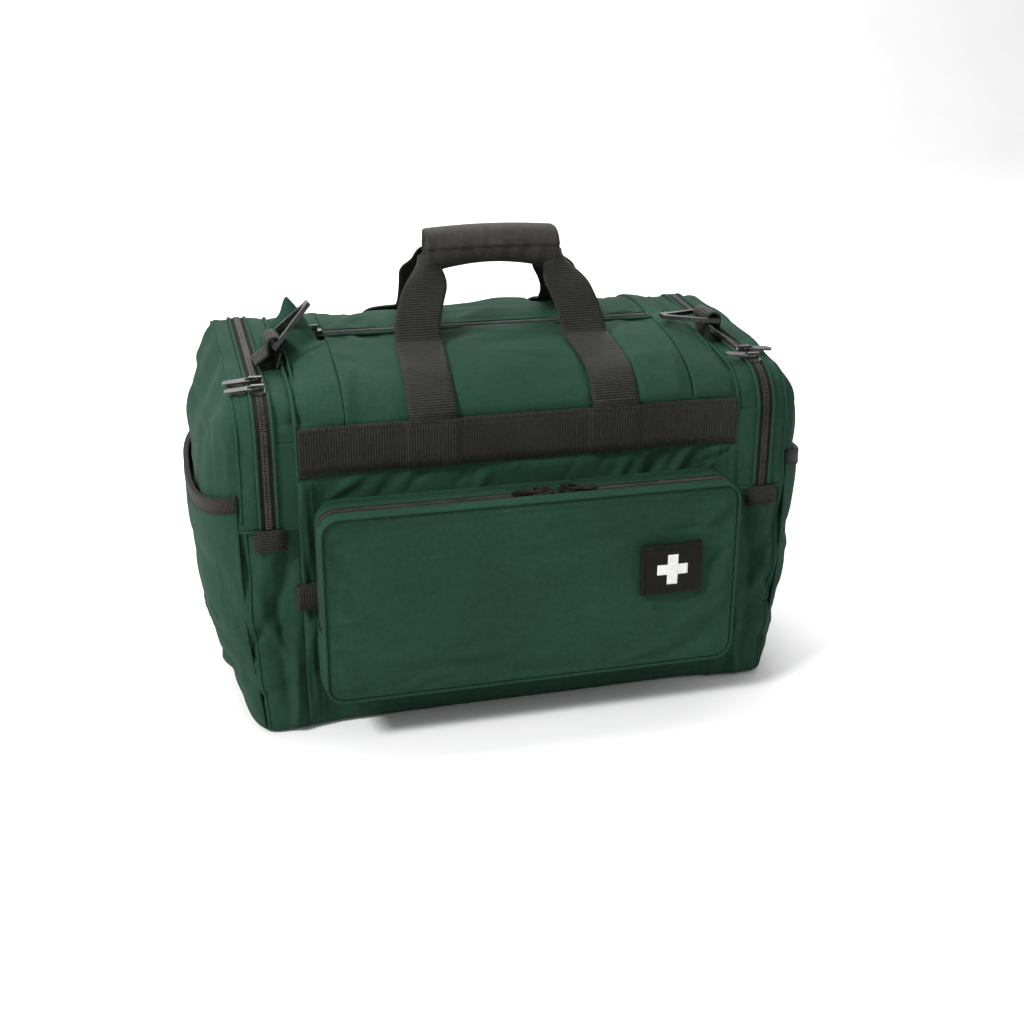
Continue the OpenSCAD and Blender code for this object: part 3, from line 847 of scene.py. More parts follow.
def slip_pocket(side, name):
    """Open pocket on the end's face, with a bound mouth that dips and gapes."""
    def point(u, v):
        z = mix(5 * MM, SLIP_Z - 1 * MM, v)
        middle = math.sin(math.pi * u)
        p = shell_point(side, mix(0.19, 0.81, u), min(z, END_FOLD))
        p.z = z - (5 + 12 * middle) * MM * smooth(0.55, 1, v)
        out = (1.5 + v + 4 * middle * smooth(0.55, 1, v)) * MM
        return p + Vector((side, 0.35 * (2 * u - 1), 0)).normalized() * out

    def folds(u, v, p):
        swell = math.sin(p[1] / MM / 25 + p[2] / MM / 45) * MM
        lines = crease_height(SHELL_LINES, 40 + 60 * min(u, 1 - u), p[2] / MM + 25)
        return (swell + lines) * edge_fade(v, 0.12) * edge_fade(u, 0.08)

    hinge_x = side * (SLIP_X + 0.5 * MM)
    zone = ("bag", f"{name}_cover", (hinge_x, Y_MID, END_FOLD - 12 * MM),
            (hinge_x, Y_MID, END_FOLD + 12 * MM))
    P = facing_out(grid_points(point, 84, 64), end_centre(side))
    P = displaced(P, 51 + side, 1.0, 0.04, folds)
    place(solid_sheet(f"{name}_slip_skin", P, GREEN), None,
          [f"{name}_slip_pocket", f"{name}_slip_edge"], blend=zone)
    rim = P[:, -1] + np.array([0, 0, 1 * MM])
    mouth = Run(rim, (0, 0, 1), grid_normals(P)[:, -1])
    binding = strip(f"{name}_slip_binding", mouth, -11 * MM, 1.5 * MM, BINDING, lift=1.3 * MM,
                    thick=4.6 * MM, n_across=6)
    place(binding, f"{name}_cover")
    sew(f"{name}_slip_stitches", mouth.moved(-9.5 * MM, 1.4 * MM), f"{name}_cover")


def end_piping(side, name, shell):
    """Piping down the corners to the floor, under the zip, and round the bag at its end."""
    row = round((CHEEK + (0.5 - CHEEK) * SEAM_E) * (SHELL_N - 1))
    for tag, k in (("near", row), ("far", SHELL_N - 1 - row)):
        tube(f"{name}_corner_piping_{tag}", shell[k, 2:], 1.4 * MM, "bag")
    rim = [np.array(shell_point(side, v, END_FOLD - 1 * MM)) for v in np.linspace(0, 1, 120)]
    tube(f"{name}_fold_piping", rim, 1.5 * MM, "bag")
    seam = round_run(side * (HALF + 3 * MM), 0.03, 3.97, 260).moved(up=-0.6 * MM)
    tube(f"{name}_seam_piping", seam.p, 1.6 * MM, "bag")


def arch_zip(side, name):
    """Zip round the end's arch: its inner half on the bag and its outer half on the cover."""
    mid = arch_run(ZIP_X, side)
    run = mid.part(1 * MM, mid.length - 1 * MM, 150)
    for toward, tag, body in ((-1, "inner", "bag"), (1, "outer", f"{name}_cover")):
        zip_half(f"{name}_zip", tag, run, toward, body, [f"{name}_zip_{tag}"], 0.9 * MM, 8 * MM)
        sew(f"{name}_zip_stitches_{tag}", run.moved(toward * (TAPE_W - 1 * MM), 1 * MM), body)
        welt = run.moved(across=toward * (TAPE_W + 0.6 * MM), up=0.8 * MM)
        tube(f"{name}_zip_welt_{tag}", welt.p, 1.5 * MM, body)


for end_side, end_name in ENDS:
    end_grid = end_shell(end_side, end_name)
    end_cover(end_side, end_name)
    slip_pocket(end_side, end_name)
    end_piping(end_side, end_name, end_grid)
    arch_zip(end_side, end_name)


# ---- Top flaps and the main zip ----

HINGE_OUT = 5.4 * MM


def flap_zone(front, body_a, body_b, below, above):
    """The two bodies on either side of a flap's fold and two points across it; place() only bakes the
    piece where it is, without blending.
    """
    y = Y_FRONT - HINGE_OUT if front else Y_REAR + HINGE_OUT
    return body_a, body_b, (0, y, FOLD - below), (0, y, FOLD + above)


def under_straps(p):
    """1 under the straps, where the flap is held flat."""
    x = abs(p[0]) / MM
    return smooth(50, 58, x) * (1 - smooth(92, 100, x))


FLAP_LINES = creases(41, 8, ((-138, 10), (138, 110)), (50, 120), (0.6, 1.5), (-0.9, 0.9), (5, 9)) \
    + creases(42, 8, ((-54, 20), (54, 100)), (50, 90), (0.6, 1.4), (-0.6, 0.6), (5, 9)) \
    + creases(43, 6, ((-140, 10), (-105, 110)), (40, 80), (0.8, 1.8), (0.8, 1.9), (4, 8)) \
    + creases(44, 6, ((100, 10), (140, 110)), (40, 80), (0.8, 1.8), (0.8, 1.9), (4, 8))


def flap_calm(p):
    return max(band_calm(p), 0.85 * under_straps(p))


def flap_folds(u, v, p):
    x = p[0] / MM
    drag = math.sin(x / 33 + p[1] / MM / 29) * 0.7 + 1.3 * math.sin(x / 47 + 0.8)
    lines = crease_height(FLAP_LINES, x, abs(p[1] - Y_MID) / MM)
    return (drag * MM + lines) * edge_fade(v, 0.08) * edge_fade(u, 0.03)


def flap(name, t0, t1, seed):
    P = grid_points(lambda u, v: section(mix(-FLAP_X, FLAP_X, u), mix(t0, t1, v)), 120, 70)
    P = displaced(facing_out(P, CENTRE), seed, 1.0, 0.05, flap_folds, flap_calm)
    zone = flap_zone(name == "front", "bag", f"{name}_flap", 7 * MM, 7 * MM)
    place(solid_sheet(f"{name}_flap_skin", P, GREEN), None, [f"{name}_top_flap"], blend=zone)


# Each flap runs from just below its fold to just short of the zip, by section()'s t
flap("front", 0.94, 1.965, 3)
flap("rear", 2.035, 3.06, 4)

MAIN_ZIP_HALF = 163 * MM
# Parts of the main zip along its length: on the flaps, and fixed beyond them at each end
MAIN_ZIP_PARTS = {"flap": (20 * MM, 306 * MM, 90), "left": (0, 19.6 * MM, 12),
                  "right": (306.4 * MM, 2 * MAIN_ZIP_HALF, 12)}


def main_zip(toward, tag):
    xs = np.linspace(-MAIN_ZIP_HALF, MAIN_ZIP_HALF, 120)
    whole = Run([(x, Y_MID, ZIP_Z - 1.2 * MM) for x in xs], (0, 1, 0), (0, 0, 1))
    for part, (start, end, n) in MAIN_ZIP_PARTS.items():
        on_flap = part == "flap"
        body = f"{tag}_flap" if on_flap else "bag"
        run = whole.part(start, end, n)
        zip_half("main_zip", f"{tag}_{part}", run, toward, body,
                 [f"main_zip_{tag}" if on_flap else "main_zip_ends"], 1 * MM, 11 * MM)
        sew(f"main_zip_stitches_{tag}_{part}", run.moved(toward * 9 * MM, 1 * MM), body)
        if on_flap:
            welt = run.moved(across=toward * 11.4 * MM, up=0.9 * MM)
            tube(f"main_zip_welt_{tag}", welt.p, 1.6 * MM, body)


main_zip(-1, "front")
main_zip(1, "rear")


# ---- Bands and straps ----

STRAP_X = 75 * MM
WEB = BAND_TOP - BAND_LOW


def band(name, face):
    """Webbing sewn across the bag, lifting over each strap."""
    t = (BAND_LOW + BAND_TOP) / 2 / FOLD
    pts = []
    for x in np.linspace(-HALF - 2 * MM, HALF + 2 * MM, 200):
        over = 1 - smooth(WEB / 2, WEB / 2 + 4 * MM, abs(abs(x) - STRAP_X))
        y = section(x, t if face < 0 else 4 - t).y + face * 1.5 * MM
        pts.append((x, y + face * (1.9 * MM * over + 0.3 * MM * math.sin(x / MM / 11)), 0))
    run = Run(pts, (0, 0, 1), (0, face, 0))
    obj = strip(f"{name}_webbing", run, BAND_LOW, BAND_TOP, WEBBING, thick=1.7 * MM, n_across=6)
    place(obj, "bag", [name])
    items = []
    for z in (BAND_LOW + 2.6 * MM, BAND_TOP - 2.6 * MM):
        items += stitch_items(run.moved(across=z, up=0.1 * MM))
    for x in (-STRAP_X, STRAP_X):
        for edge in (-21 * MM, 21 * MM):
            p = run.at(x + edge + HALF)[0]
            zs = np.linspace(BAND_LOW + 3 * MM, BAND_TOP - 3 * MM, 12)
            items += stitch_items(Run([p + np.array([0, face * 0.1 * MM, z]) for z in zs],
                                      (1, 0, 0), (0, face, 0)))
    place(beads(f"{name}_stitches", items, THREAD_BLACK), "bag")


band("front_band", -1)
band("rear_band", 1)


CURVE_N = 60


def smooth_line(points, rounds):
    """Chaikin's corner cutting, keeping both ends."""
    P = np.array(points, float)
    for _ in range(rounds):
        q = [P[0]]
        for a, b in zip(P[:-1], P[1:]):
            q += [a * 0.75 + b * 0.25, a * 0.25 + b * 0.75]
        q.append(P[-1])
        P = np.array(q)
    return P


def strap_path(front, lift, leave, goal):
    """(y, z) along a strap from the fold over the flap and up to the grip."""
    curve = bezier(FRONT_CURVE if front else REAR_CURVE[::-1], CURVE_N)
    pts = []
    count = int(leave * CURVE_N)
    for i in range(count + 1):
        d = np.array(curve[i + 1]) - np.array(curve[i])
        d /= np.linalg.norm(d)
        n = np.array([-d[1], d[0]]) * (1 if front else -1)
        pts.append(np.array(curve[i]) + n * lift)
    last = pts[-1]
    for f in (0.3, 0.55, 0.8, 1.0):
        bow = 3 * MM * math.sin(math.pi * f) * (-1 if front else 1)
        pts.append(mix(last, np.array(goal), f) + np.array([bow, 0]))
    return Path(smooth_line(pts, 4))


def strap(end, side, tag, leave, goal_y, rise_x, top_x, top_w):
    """Handle strap over a flap, leaving it at the fraction leave, and pinched into the grip."""
    front = end == "front"
    path = strap_path(front, 3.6 * MM, leave, (goal_y, GRIP_Z - 2 * MM))
    face = 1 if front else -1
    P = np.zeros((120, 12, 3))
    for i, f in enumerate(np.linspace(0, 1, len(P))):
        y, z = path.at(f)
        ny, nz = path.normal(f) * face
        pinch = smooth(0.78, 1.0, f)
        half_w = mix(WEB / 2, top_w / 2, pinch)
        cx = mix(mix(STRAP_X, rise_x, smooth(0.2, 0.55, f)), top_x, smooth(0.55, 1.0, f))
        for j, across in enumerate(np.linspace(-1, 1, len(P[0]))):
            bow = 9 * MM * pinch ** 1.5 * (across ** 2 - 0.4) + 0.5 * MM * math.sin(f * 21 + side)
            P[i, j] = (side * (cx + across * half_w), y - ny * bow, z - nz * bow)
    if grid_normals(P)[5, 5] @ np.array([0, -face, 0.2]) < 0:
        P = P[:, ::-1]
    place(solid_sheet(f"{end}_strap_{tag}", P, WEBBING, 1.8 * MM), None, [],
          flap_zone(front, f"{end}_flap", f"{end}_handle", 2 * MM, 14 * MM))


GRIP_Z = (lo("grip_pad")[2] + hi("grip_pad")[2]) / 2
GRIP_Y = (lo("grip_pad")[1] + hi("grip_pad")[1]) / 2
FRONT_CORE = Y_MID - 8 * MM
REAR_CORE = Y_MID + 6.6 * MM
for side, tag in ENDS:
    strap("front", side, tag, 0.72, FRONT_CORE, 71 * MM, 54 * MM, 17 * MM)
    strap("rear", side, tag, 0.62, REAR_CORE, (50 if side < 0 else 80) * MM, 55 * MM, 20 * MM)
    for face, end, y in ((-1, "front", Y_FRONT), (1, "rear", Y_REAR)):
        pts = [(side * STRAP_X, y + face * mix(1.2, 3.7, smooth(240, 262, z)) * MM, z * MM)
               for z in np.linspace(228, 264, 26)]
        run = Run(pts, (1, 0, 0), (0, face, 0))
        foot = strip(f"strap_foot_{tag}_{end}", run, -WEB / 2, WEB / 2, WEBBING, thick=1.8 * MM)
        place(foot, None, ["strap_ends"],
              flap_zone(face < 0, "bag", f"{end}_flap", 4 * MM, 1 * MM))


def core(end, y):
    """Webbing folded to a flat bundle inside the grip, from strap to strap."""
    pts = [(x, y, GRIP_Z - 2 * MM) for x in np.linspace(-56 * MM, 56 * MM, 60)]
    run = Run(pts, (0, 0, 1), (0, -1, 0))
    obj = strip(f"{end}_grip_core", run, -8 * MM, 8 * MM, WEBBING, lift=2 * MM, thick=4 * MM,
                n_across=5)
    place(obj, f"{end}_handle", [f"{end}_handle"])


core("front", FRONT_CORE)
core("rear", REAR_CORE)


GRIP_LENGTH, GRIP_HALF, GRIP_DEPTH = 113 * MM, 17.5 * MM, 23 * MM
# Points round the sleeve, and how many of them are on its D-shaped front
GRIP_N, GRIP_FRONT = 64, 48
# Rounded ends of the sleeve: fraction of its length, scale, and shift along it
GRIP_ENDS = [(-0.5, 0.62, 4 * MM), (-0.5, 0.74, 2 * MM), (-0.5, 0.86, -0.5 * MM),
             (-0.5, 0.95, 0.0)]


def grip_profile(f, a):
    """Sleeve section at f along the grip: a full D with a flap edge wrapped across its front."""
    half_h = GRIP_HALF * (1 - 0.06 * (2 * f) ** 2)
    back = hi("grip_pad")[1] - 0.6 * MM
    if a >= math.pi:
        return back, -half_h
    edge = 1.9 * MM * smooth(1.42, 1.5, a)
    return back - GRIP_DEPTH * math.sin(a) ** 0.72 + edge, half_h * math.cos(a)


def grip_ring(f, scale, shift):
    """Section of the sleeve: its front from top to bottom, then its flat back up again."""
    x = f * GRIP_LENGTH + shift
    middle = 1 - (2 * f) ** 2
    dent = 0.9 * MM * math.sin(f * 31) * math.sin(f * 13 + 1)
    cy = GRIP_Y + 2 * MM
    ring = []
    for j in range(GRIP_N):
        if j < GRIP_FRONT:
            a = math.pi * j / (GRIP_FRONT - 1)
            y, z = grip_profile(f, a)
            y -= (fbm((x, y, z), 0.03, 9, 3) * 1.1 * MM + dent * math.sin(a)) * math.sin(a)
        else:
            y, low = grip_profile(f, math.pi)
            z = mix(low, -low, (j - GRIP_FRONT + 1) / (GRIP_N - GRIP_FRONT + 1))
        if z < 0:
            z *= mix(1.3, 0.82, middle)
        ring.append((x, cy + (y - cy) * scale, GRIP_Z + (1.5 * middle - 0.5) * MM + z * scale))
    return ring


def grip():
    """Padded sleeve wrapped round both handles' cores."""
    plan = GRIP_ENDS + [(f, 1.0, 0.0) for f in np.linspace(-0.485, 0.485, 80)] \
        + [(-f, scale, -shift) for f, scale, shift in GRIP_ENDS[::-1]]
    rings = [grip_ring(*station) for station in plan]
    obj = lofted("grip_sleeve", rings, SLEEVE,
                 lambda i, j: (rings[i][0][0], j / GRIP_N * 90 * MM))
    place(obj, "front_handle", ["grip_pad"])


grip()


# ---- Front pocket ----

POCKET_R = 14 * MM
POCKET_MID = (POCKET_LOW + POCKET_TOP) / 2
POCKET_H = (POCKET_TOP - POCKET_LOW) / 2


def pocket_path():
    cx, z0, z1 = POCKET_X - POCKET_R, POCKET_LOW + POCKET_R, POCKET_TOP - POCKET_R
    up = [[-POCKET_X, POCKET_FOLD]] + arc((-cx, z1), POCKET_R, math.pi, math.pi / 2, 12)
    over = arc((cx, z1), POCKET_R, math.pi / 2, 0, 12) + [[POCKET_X, POCKET_FOLD]]
    down = arc((cx, z0), POCKET_R, 0, -math.pi / 2, 12)
    back = arc((-cx, z0), POCKET_R, -math.pi / 2, -math.pi, 12) + [[-POCKET_X, POCKET_FOLD]]
    return Path(up + over), Path([[POCKET_X, POCKET_FOLD]] + down + back)


UPPER, LOWER = pocket_path()


def pocket_run(path, y, n=200):
    pts, ups = [], []
    for f in np.linspace(0, 1, n):
        x, z = path.at(f)
        nx, nz = path.normal(f)
        pts.append((x, y, z))
        ups.append((nx, 0, nz))
    return Run(pts, (0, -1, 0), ups)


def wobble(x, z):
    """The box's edge is soft: it waves in and out a little."""
    return (0.8 * math.sin(x / MM / 27 + 1) + 0.65 * math.sin(z / MM / 15 + 2)) * MM


def round_corner(a, b, inset):
    """Maps a square patch's point, -1 to 1 each way, to the pocket's round-cornered outline."""
    hw, hh, r = POCKET_X - inset, POCKET_H - inset, POCKET_R - inset
    x, z = a * hw, b * hh
    dx, dz = (abs(x) - (hw - r)) / r, (abs(z) - (hh - r)) / r
    if dx > 0 and dz > 0:
        k = max(dx, dz) / math.hypot(dx, dz)
        x = math.copysign(hw - r + dx * k * r, x)
        z = math.copysign(hh - r + dz * k * r, z)
    return x, POCKET_MID + z


HINGE_Y = POCKET_Y - 1 * MM
POCKET_ZONE = ("bag", "pocket_cover", (0, HINGE_Y, POCKET_FOLD - 9 * MM),
               (0, HINGE_Y, POCKET_FOLD + 9 * MM))


def face_puff(u, v, p):
    """Stuffed face: fuller below the middle, drawn in at the seams, with drag lines."""
    x, z = p[0] / MM, p[2] / MM
    full = math.sin(math.pi * u) ** 0.35 * math.sin(math.pi * v) ** 0.5
    drag = math.sin((x * 0.5 + z) / 23 + 1.7 * math.sin(x / 50)) * 0.5
    corner = math.sin((abs(x) - z * 0.8) / 8) * 1.1 * math.exp(-((abs(x) - 150) / 26) ** 2)
    low = math.exp(-((z - 66) / 14) ** 2) * 1.6 * math.sin(x / 34 + 0.6)
    return (4.5 * full - 1.5 + (drag + corner + low) * edge_fade(u, 0.04)
            * edge_fade(v, 0.06)) * MM


FACE_LINES = creases(31, 9, ((-160, 150), (150, 188)), (40, 100), (0.5, 1.2), (-0.5, 0.3), (4, 8)) \
    + creases(32, 11, ((-160, 48), (160, 80)), (40, 110), (0.8, 2.0), (-0.35, 0.45), (4, 8)) \
    + creases(33, 8, ((-168, 60), (-140, 180)), (30, 60), (0.8, 1.8), (-0.9, 0.2), (3, 6)) \
    + creases(34, 9, ((138, 60), (168, 180)), (30, 60), (0.8, 2.0), (-0.3, 0.9), (3, 6)) \
    + creases(35, 6, ((-120, 90), (60, 150)), (60, 140), (0.4, 0.9), (-0.4, 0.4), (8, 14))


def pocket_face():
    """Front of the pocket: a flat sheet with round corners, whose folds stand out to the front."""
    def flat(u, v):
        x, z = round_corner(2 * u - 1, 2 * v - 1, 1 * MM)
        return Vector((x, POCKET_Y + 3.2 * MM, z))

    P = facing_out(grid_points(flat, 160, 84), CENTRE)
    for i, u in enumerate(np.linspace(0, 1, len(P))):
        for j, v in enumerate(np.linspace(0, 1, len(P[0]))):
            p = P[i, j]
            folds = crumple(p, 5, 0.9) + face_puff(u, v, p) \
                + crease_height(FACE_LINES, p[0] / MM, p[2] / MM)
            p[1] -= folds * edge_fade(u, 0.03) * edge_fade(v, 0.05)
    place(solid_sheet("pocket_face_skin", P, GREEN), None,
          ["front_pocket_cover", "front_pocket_tub"], blend=POCKET_ZONE)


pocket_face()


FACE_Y = POCKET_Y + 3.5 * MM
GUSSET_DEPTH = 30 * MM
GUSSET_N = 12


def gusset(name, path, y0, y1, swell, blend=None, body=None, nodes=(), seed=6):
    """Side wall of the pocket between y0 and y1, round one half of its outline."""
    run = pocket_run(path, 0)
    P = np.zeros((len(run.p), GUSSET_N, 3))
    for j, v in enumerate(np.linspace(0, 1, GUSSET_N)):
        for i, (x, _, z) in enumerate(run.p):
            out = swell + crumple((x, v * GUSSET_DEPTH, z), seed, 0.8) + wobble(x, z)
            P[i, j] = run.p[i] + run.n[i] * out * math.sin(math.pi * v)
            P[i, j, 1] = mix(y0, y1, v)
    P = facing_out(P, (0, (POCKET_Y + Y_FRONT) / 2, POCKET_MID))
    place(solid_sheet(name, P, GREEN), body, nodes, blend=blend)


gusset("pocket_gusset_outer", UPPER, POCKET_ZIP - 4 * MM, FACE_Y, 1.5 * MM, POCKET_ZONE)
gusset("pocket_gusset_low", LOWER, Y_FRONT, FACE_Y, 3.0 * MM, None, "bag")
gusset("pocket_gusset_inner", UPPER, Y_FRONT, POCKET_ZIP + 4 * MM, 0.4 * MM, None, "bag",
       ["front_pocket_gusset"], 7)


def pocket_seams(tag, path, zone):
    """Piping at the face and at the back, and a row of stitches inside the face's edge."""
    seam = pocket_run(path, FACE_Y - 0.6 * MM)
    tube(f"pocket_piping_{tag}", seam.p + seam.n * 0.2 * MM, 1.3 * MM, "bag", zone)
    back = pocket_run(path, Y_FRONT - 1.2 * MM)
    tube(f"pocket_back_piping_{tag}", back.p, 1.6 * MM, "bag")
    edge = pocket_run(path, 0, 240)
    row = Run([(x * 0.975, POCKET_Y + 0.9 * MM, mix(POCKET_MID, z, 0.95)) for x, _, z in edge.p],
              edge.n, edge.a)
    place(beads(f"pocket_face_stitches_{tag}", stitch_items(row), THREAD), "bag", blend=zone)


def pocket_zip(toward, tag, body):
    run = pocket_run(UPPER, POCKET_ZIP, 220)
    run = run.part(0.6 * MM, run.length - 0.6 * MM, 220)
    zip_half("pocket_zip", tag, run, toward, body, [f"pocket_zip_{tag}"], 0.9 * MM, 6.5 * MM,
             0.8 * MM, 0.2 * MM, 1.5 * MM)
    welt = run.moved(across=toward * 6.8 * MM, up=0.6 * MM)
    tube(f"pocket_zip_welt_{tag}", welt.p, 1.2 * MM, body)


pocket_seams("upper", UPPER, POCKET_ZONE)
pocket_seams("lower", LOWER, None)
pocket_zip(1, "outer", "pocket_cover")
pocket_zip(-1, "inner", "bag")


# ---- Patch ----

def patch():
    a, b = lo("patch"), hi("patch")
    cx, cz = (a[0] + b[0]) / 2, (a[2] + b[2]) / 2
    w, h = (b[0] - a[0]) / 2, (b[2] - a[2]) / 2
    y = POCKET_Y - 4.4 * MM

    def face(x, z):
        return y + 0.9 * MM * ((x - cx) / w) ** 2 + 0.4 * MM * math.sin(x / MM / 9 + z / MM / 13)

    def block(name, x0, x1, z0, z1, lift, thick, material):
        P = grid_points(lambda u, v: Vector((mix(x0, x1, u), face(mix(x0, x1, u), mix(z0, z1, v))
                                             - lift, mix(z0, z1, v))), 20, 20)
        n = np.tile((0, -1.0, 0), (20, 20, 1))
        return solid_sheet(name, P, material, thick, normals=n)

    base = block("patch_base", cx - w, cx + w, cz - h, cz + h, 0, 3.4 * MM, TAPE)
    place(base, "pocket_cover", ["patch"])
    arm, bar = 13 * MM, 4.4 * MM
    for k, (dx, dz) in enumerate(((arm, bar), (bar, arm))):
        piece = block(f"patch_cross_{k}", cx - dx, cx + dx, cz - dz, cz + dz, (0.45 + 0.1 * k) * MM,
                      0.6 * MM, WHITE)
        place(piece, "pocket_cover")
    items = []
    ring = [(cx - w, cz - h), (cx + w, cz - h), (cx + w, cz + h), (cx - w, cz + h), (cx - w, cz - h)]
    for (x0, z0), (x1, z1) in zip(ring, ring[1:]):
        n = int(math.hypot(x1 - x0, z1 - z0) / (1.1 * MM))
        for i in range(n + 1):
            x, z = mix(x0, x1, i / n), mix(z0, z1, i / n)
            inward = np.array([cx - x, 0, 0]) if x0 == x1 else np.array([0, 0, cz - z])
            inward /= np.linalg.norm(inward)
            c = np.array([x, face(x, z) - 0.25 * MM, z]) + inward * 1.6 * MM
            c[0] = min(max(c[0], cx - w + 0.4 * MM), cx + w - 0.4 * MM)
            t = np.cross(inward, (0, 1, 0))
            items.append((c, inward * 1.6 * MM, t * 0.42 * MM, np.array([0, 1, 0]) * 0.5 * MM))
    place(beads("patch_border", items, THREAD_BLACK), "pocket_cover")


patch()


# ---- Tabs and ring loops ----

def tab_loop(name, centre, along, up, width, length, nodes=(), gap=1.6 * MM):
    """Folded webbing tab: it runs out along, turns over and comes back."""
    c, d, n = (np.array(v, float) for v in (centre, along, up))
    across = np.cross(d, n)
    half = length - gap
    pts, ups = [], []
    for f in np.linspace(0, 1, 10):
        pts.append(c + d * half * f + n * gap)
        ups.append(n)
    for a in np.linspace(0.15, math.pi - 0.15, 9):
        pts.append(c + d * (half + gap * math.sin(a)) + n * gap * math.cos(a))
        ups.append(n * math.cos(a) + d * math.sin(a))
    for f in np.linspace(1, 0, 10):
        pts.append(c + d * half * f - n * gap)
        ups.append(-n)
    run = Run(pts, across, ups)
    obj = strip(name, run, -width / 2, width / 2, WEBBING, lift=0.4 * MM, thick=1.3 * MM)
    place(obj, "bag", nodes)
    row = Run([c + d * 3 * MM + n * (gap + 0.5 * MM) + across * s for s in
               np.linspace(-width / 2 + 2 * MM, width / 2 - 2 * MM, 12)], d, n)
    sew(f"{name}_stitches", row, "bag", 2.6 * MM)


for side, tag in ENDS:
    for face in (-1, 1):
        y = END_Y0 if face < 0 else END_Y1
        where = "front" if face < 0 else "rear"
        tab_loop(f"zip_tab_{tag}_{where}", (side * 206 * MM, y + face * 1.9 * MM, 163 * MM),
                 (0, 0, 1), (0, face, 0), 25 * MM, 17 * MM, nodes=["zip_tabs"])
    tab_loop(f"pocket_tab_{tag}", (side * (POCKET_X - 2 * MM), Y_FRONT - 9 * MM, 122 * MM),
             (side, 0, 0), (0, -1, 0), 20 * MM, 19 * MM, gap=2.4 * MM)

RING_Y = (lo("left_ring")[1] + hi("left_ring")[1]) / 2
RING_X, RING_Z = 187 * MM, 307 * MM
LOOP_R = 5 * MM
# Height of the cloth at the foot of a ring's loop
LOOP_FOOT = 287.5 * MM


def ring_loop(side, tag):
    """Webbing that rises from the end's seam, turns over the ring's bar and goes down again."""
    pts = []
    for f in np.linspace(0, 1, 14):
        pts.append((mix(203, 191.6, f) * MM, mix(LOOP_FOOT + 3 * MM, 299 * MM, f)))
    for a in np.linspace(-0.2, math.pi * 1.12, 26):
        pts.append((RING_X + LOOP_R * math.cos(a), RING_Z + LOOP_R * math.sin(a)))
    for f in np.linspace(0.15, 1, 12):
        pts.append((mix(182.4, 186.5, f) * MM, mix(303 * MM, LOOP_FOOT + 1 * MM, f)))
    P = smooth_line([(side * x, RING_Y, z) for x, z in pts], 2)
    T = np.gradient(P, axis=0)
    up = np.cross((0, 1, 0), T / np.linalg.norm(T, axis=1, keepdims=True)) * side
    if up[30] @ (P[30] - np.array([side * RING_X, RING_Y, RING_Z])) < 0:
        up = -up
    run = Run(P, (0, 1, 0), up)
    obj = strip(f"{tag}_ring_webbing", run, -16 * MM, 16 * MM, WEBBING, thick=1.5 * MM, n_across=6)
    place(obj, "bag", [f"{tag}_ring_loop"])


for side, tag in ENDS:
    ring_loop(side, tag)


# ---- Inside ----

def divider(name, a, b):
    """Foam pad with softened edges, filling the box from a to b."""
    a, b = np.array(a, float), np.array(b, float)
    half = (b - a) / 2
    bm = bmesh.new()
    bmesh.ops.create_cube(bm, size=2)
    bmesh.ops.subdivide_edges(bm, edges=bm.edges, cuts=15, use_grid_fill=True)
    r = min(half) * 0.9
    for v in bm.verts:
        p = np.array(v.co) * half
        inner = np.clip(p, -(half - r), half - r)
        size = np.linalg.norm(p - inner)
        if size > 1e-9:
            p = inner + (p - inner) / size * min(size, r)
        v.co = (a + b) / 2 + p
    mesh = bpy.data.meshes.new(name)
    bm.to_mesh(mesh)
    bm.free()
    uv = mesh.uv_layers.new(name="UVMap")
    for loop in mesh.loops:
        uv.data[loop.index].uv = mesh.vertices[loop.vertex_index].co.yz
    obj = add_object(name, mesh, PAD_GREY)
    place(obj, "bag", ["padded_dividers"])


DIV_LO, DIV_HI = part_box("padded_dividers")
DIV_T = 8 * MM
divider("divider_left", DIV_LO, (DIV_LO[0] + DIV_T, DIV_HI[1], DIV_HI[2]))
divider("divider_right", (DIV_HI[0] - DIV_T, DIV_LO[1], DIV_LO[2]), DIV_HI)

ROUND = np.concatenate([MAIN_TOP[0].p, MAIN_TOP[1].p])


def inner_wall(side, tag):
    """Lining between the main room and an end, up to just under the flaps."""
    def point(u, v):
        y = mix(Y_FRONT + 4 * MM, Y_REAR - 4 * MM, u)
        top = min(np.interp(y, ROUND[:, 0], ROUND[:, 1]), 306 * MM) - 6 * MM
        return Vector((side * (HALF - 2 * MM), y, mix(4 * MM, top, v)))

    wall = solid_sheet(f"{tag}_wall_skin", grid_points(point, 50, 50), LINING, 1.2 * MM)
    place(wall, "bag", [f"{tag}_inner_wall"])


for side, tag in ENDS:
    inner_wall(side, tag)


# ---- Hardware that keeps its CAD shape ----

for node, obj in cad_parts.items():
    if node.endswith(("_slider", "_puller")):
        material = METAL
    elif node in ("left_ring", "right_ring"):
        material = RING_METAL
    elif node == "base_board":
        material = BOARD
    else:
        continue
    for s in obj.material_slots:
        s.material = material


# ---- Floor, light and camera ----

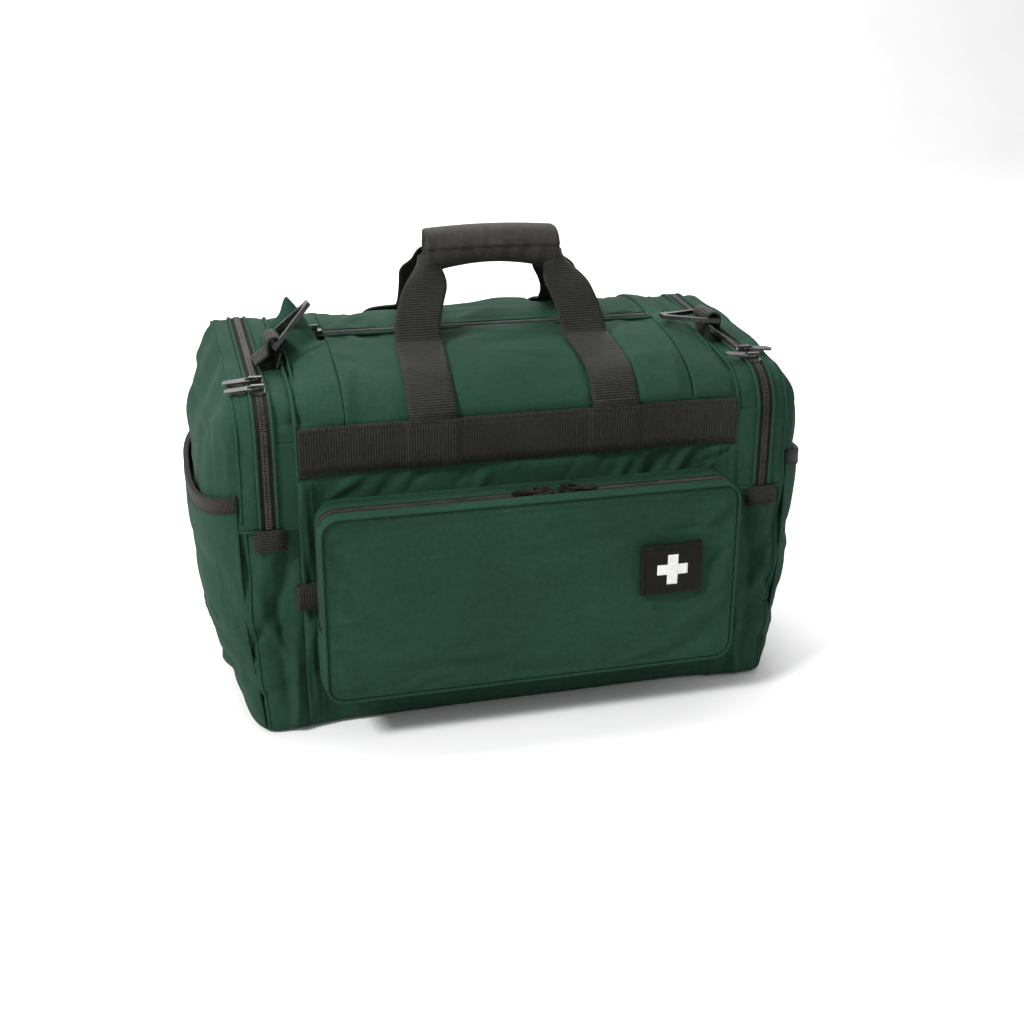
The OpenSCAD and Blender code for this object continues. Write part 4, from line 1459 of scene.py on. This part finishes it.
def floor_material():
    mat, tree, bsdf = node_material("studio_floor", 0.6, specular=0.2)
    coord = tree.nodes.new("ShaderNodeTexCoord")
    tex = link_noise(tree, coord.outputs["Object"], 3, 2)
    colour = ramp_node(tree, tex.outputs["Fac"], [(0.2, (0.80,) * 3), (0.8, (0.84,) * 3)])
    tree.links.new(colour, bsdf.inputs["Base Color"])
    return mat


SWEEP = [(-4.0, 0.0), (3.2, 0.0)] + [(3.2 + 1.5 * math.sin(a), 1.5 - 1.5 * math.cos(a))
                                     for a in np.linspace(0.1, math.pi / 2, 16)] + [(4.7, 6.0)]
floor_mesh = bpy.data.meshes.new("floor")
floor_mesh.from_pydata([(x, y, z) for y, z in SWEEP for x in (-6, 6)], [],
                       [(2 * i, 2 * i + 1, 2 * i + 3, 2 * i + 2) for i in range(len(SWEEP) - 1)])
floor = add_object("floor", floor_mesh, floor_material())


def area_light(name, location, target, size, power):
    """Square light that faces its target."""
    data = bpy.data.lights.new(name, "AREA")
    data.energy = power
    data.size = size
    obj = bpy.data.objects.new(name, data)
    bpy.context.scene.collection.objects.link(obj)
    obj.location = location
    obj.rotation_euler = (Vector(target) - Vector(location)).to_track_quat("-Z", "Y").to_euler()


area_light("key", (-1.7, -0.9, 1.7), (0, 0, 0.15), 0.5, 66)
area_light("fill", (1.9, -1.2, 1.1), (0, 0, 0.15), 1.5, 6)
area_light("back", (0.3, 1.6, 1.8), (0, 0, 0.2), 1.2, 26)
area_light("backdrop", (0, 1.0, 3.2), (0, 4.2, 0.8), 3.0, 160)

world = bpy.data.worlds.new("studio")
world.use_nodes = True
sky = world.node_tree.nodes["Background"].inputs
sky["Color"].default_value = (1, 1, 1, 1)
sky["Strength"].default_value = 0.6
bpy.context.scene.world = world

# The photo's viewing angle and field of view, solved from the bag's outline
YAW, PITCH, ROLL = math.radians(15.2), math.radians(20.9), math.radians(-0.3)
cam_data = bpy.data.cameras.new("camera")
cam_data.lens = 48.456
cam_data.sensor_width = 36
camera = bpy.data.objects.new("camera", cam_data)
bpy.context.scene.collection.objects.link(camera)
camera.location = (-0.2868, -1.1051, 0.574)
camera.rotation_euler = (math.pi / 2 - PITCH, ROLL, -YAW)
bpy.context.scene.camera = camera
bpy.context.scene.view_settings.view_transform = "Standard"
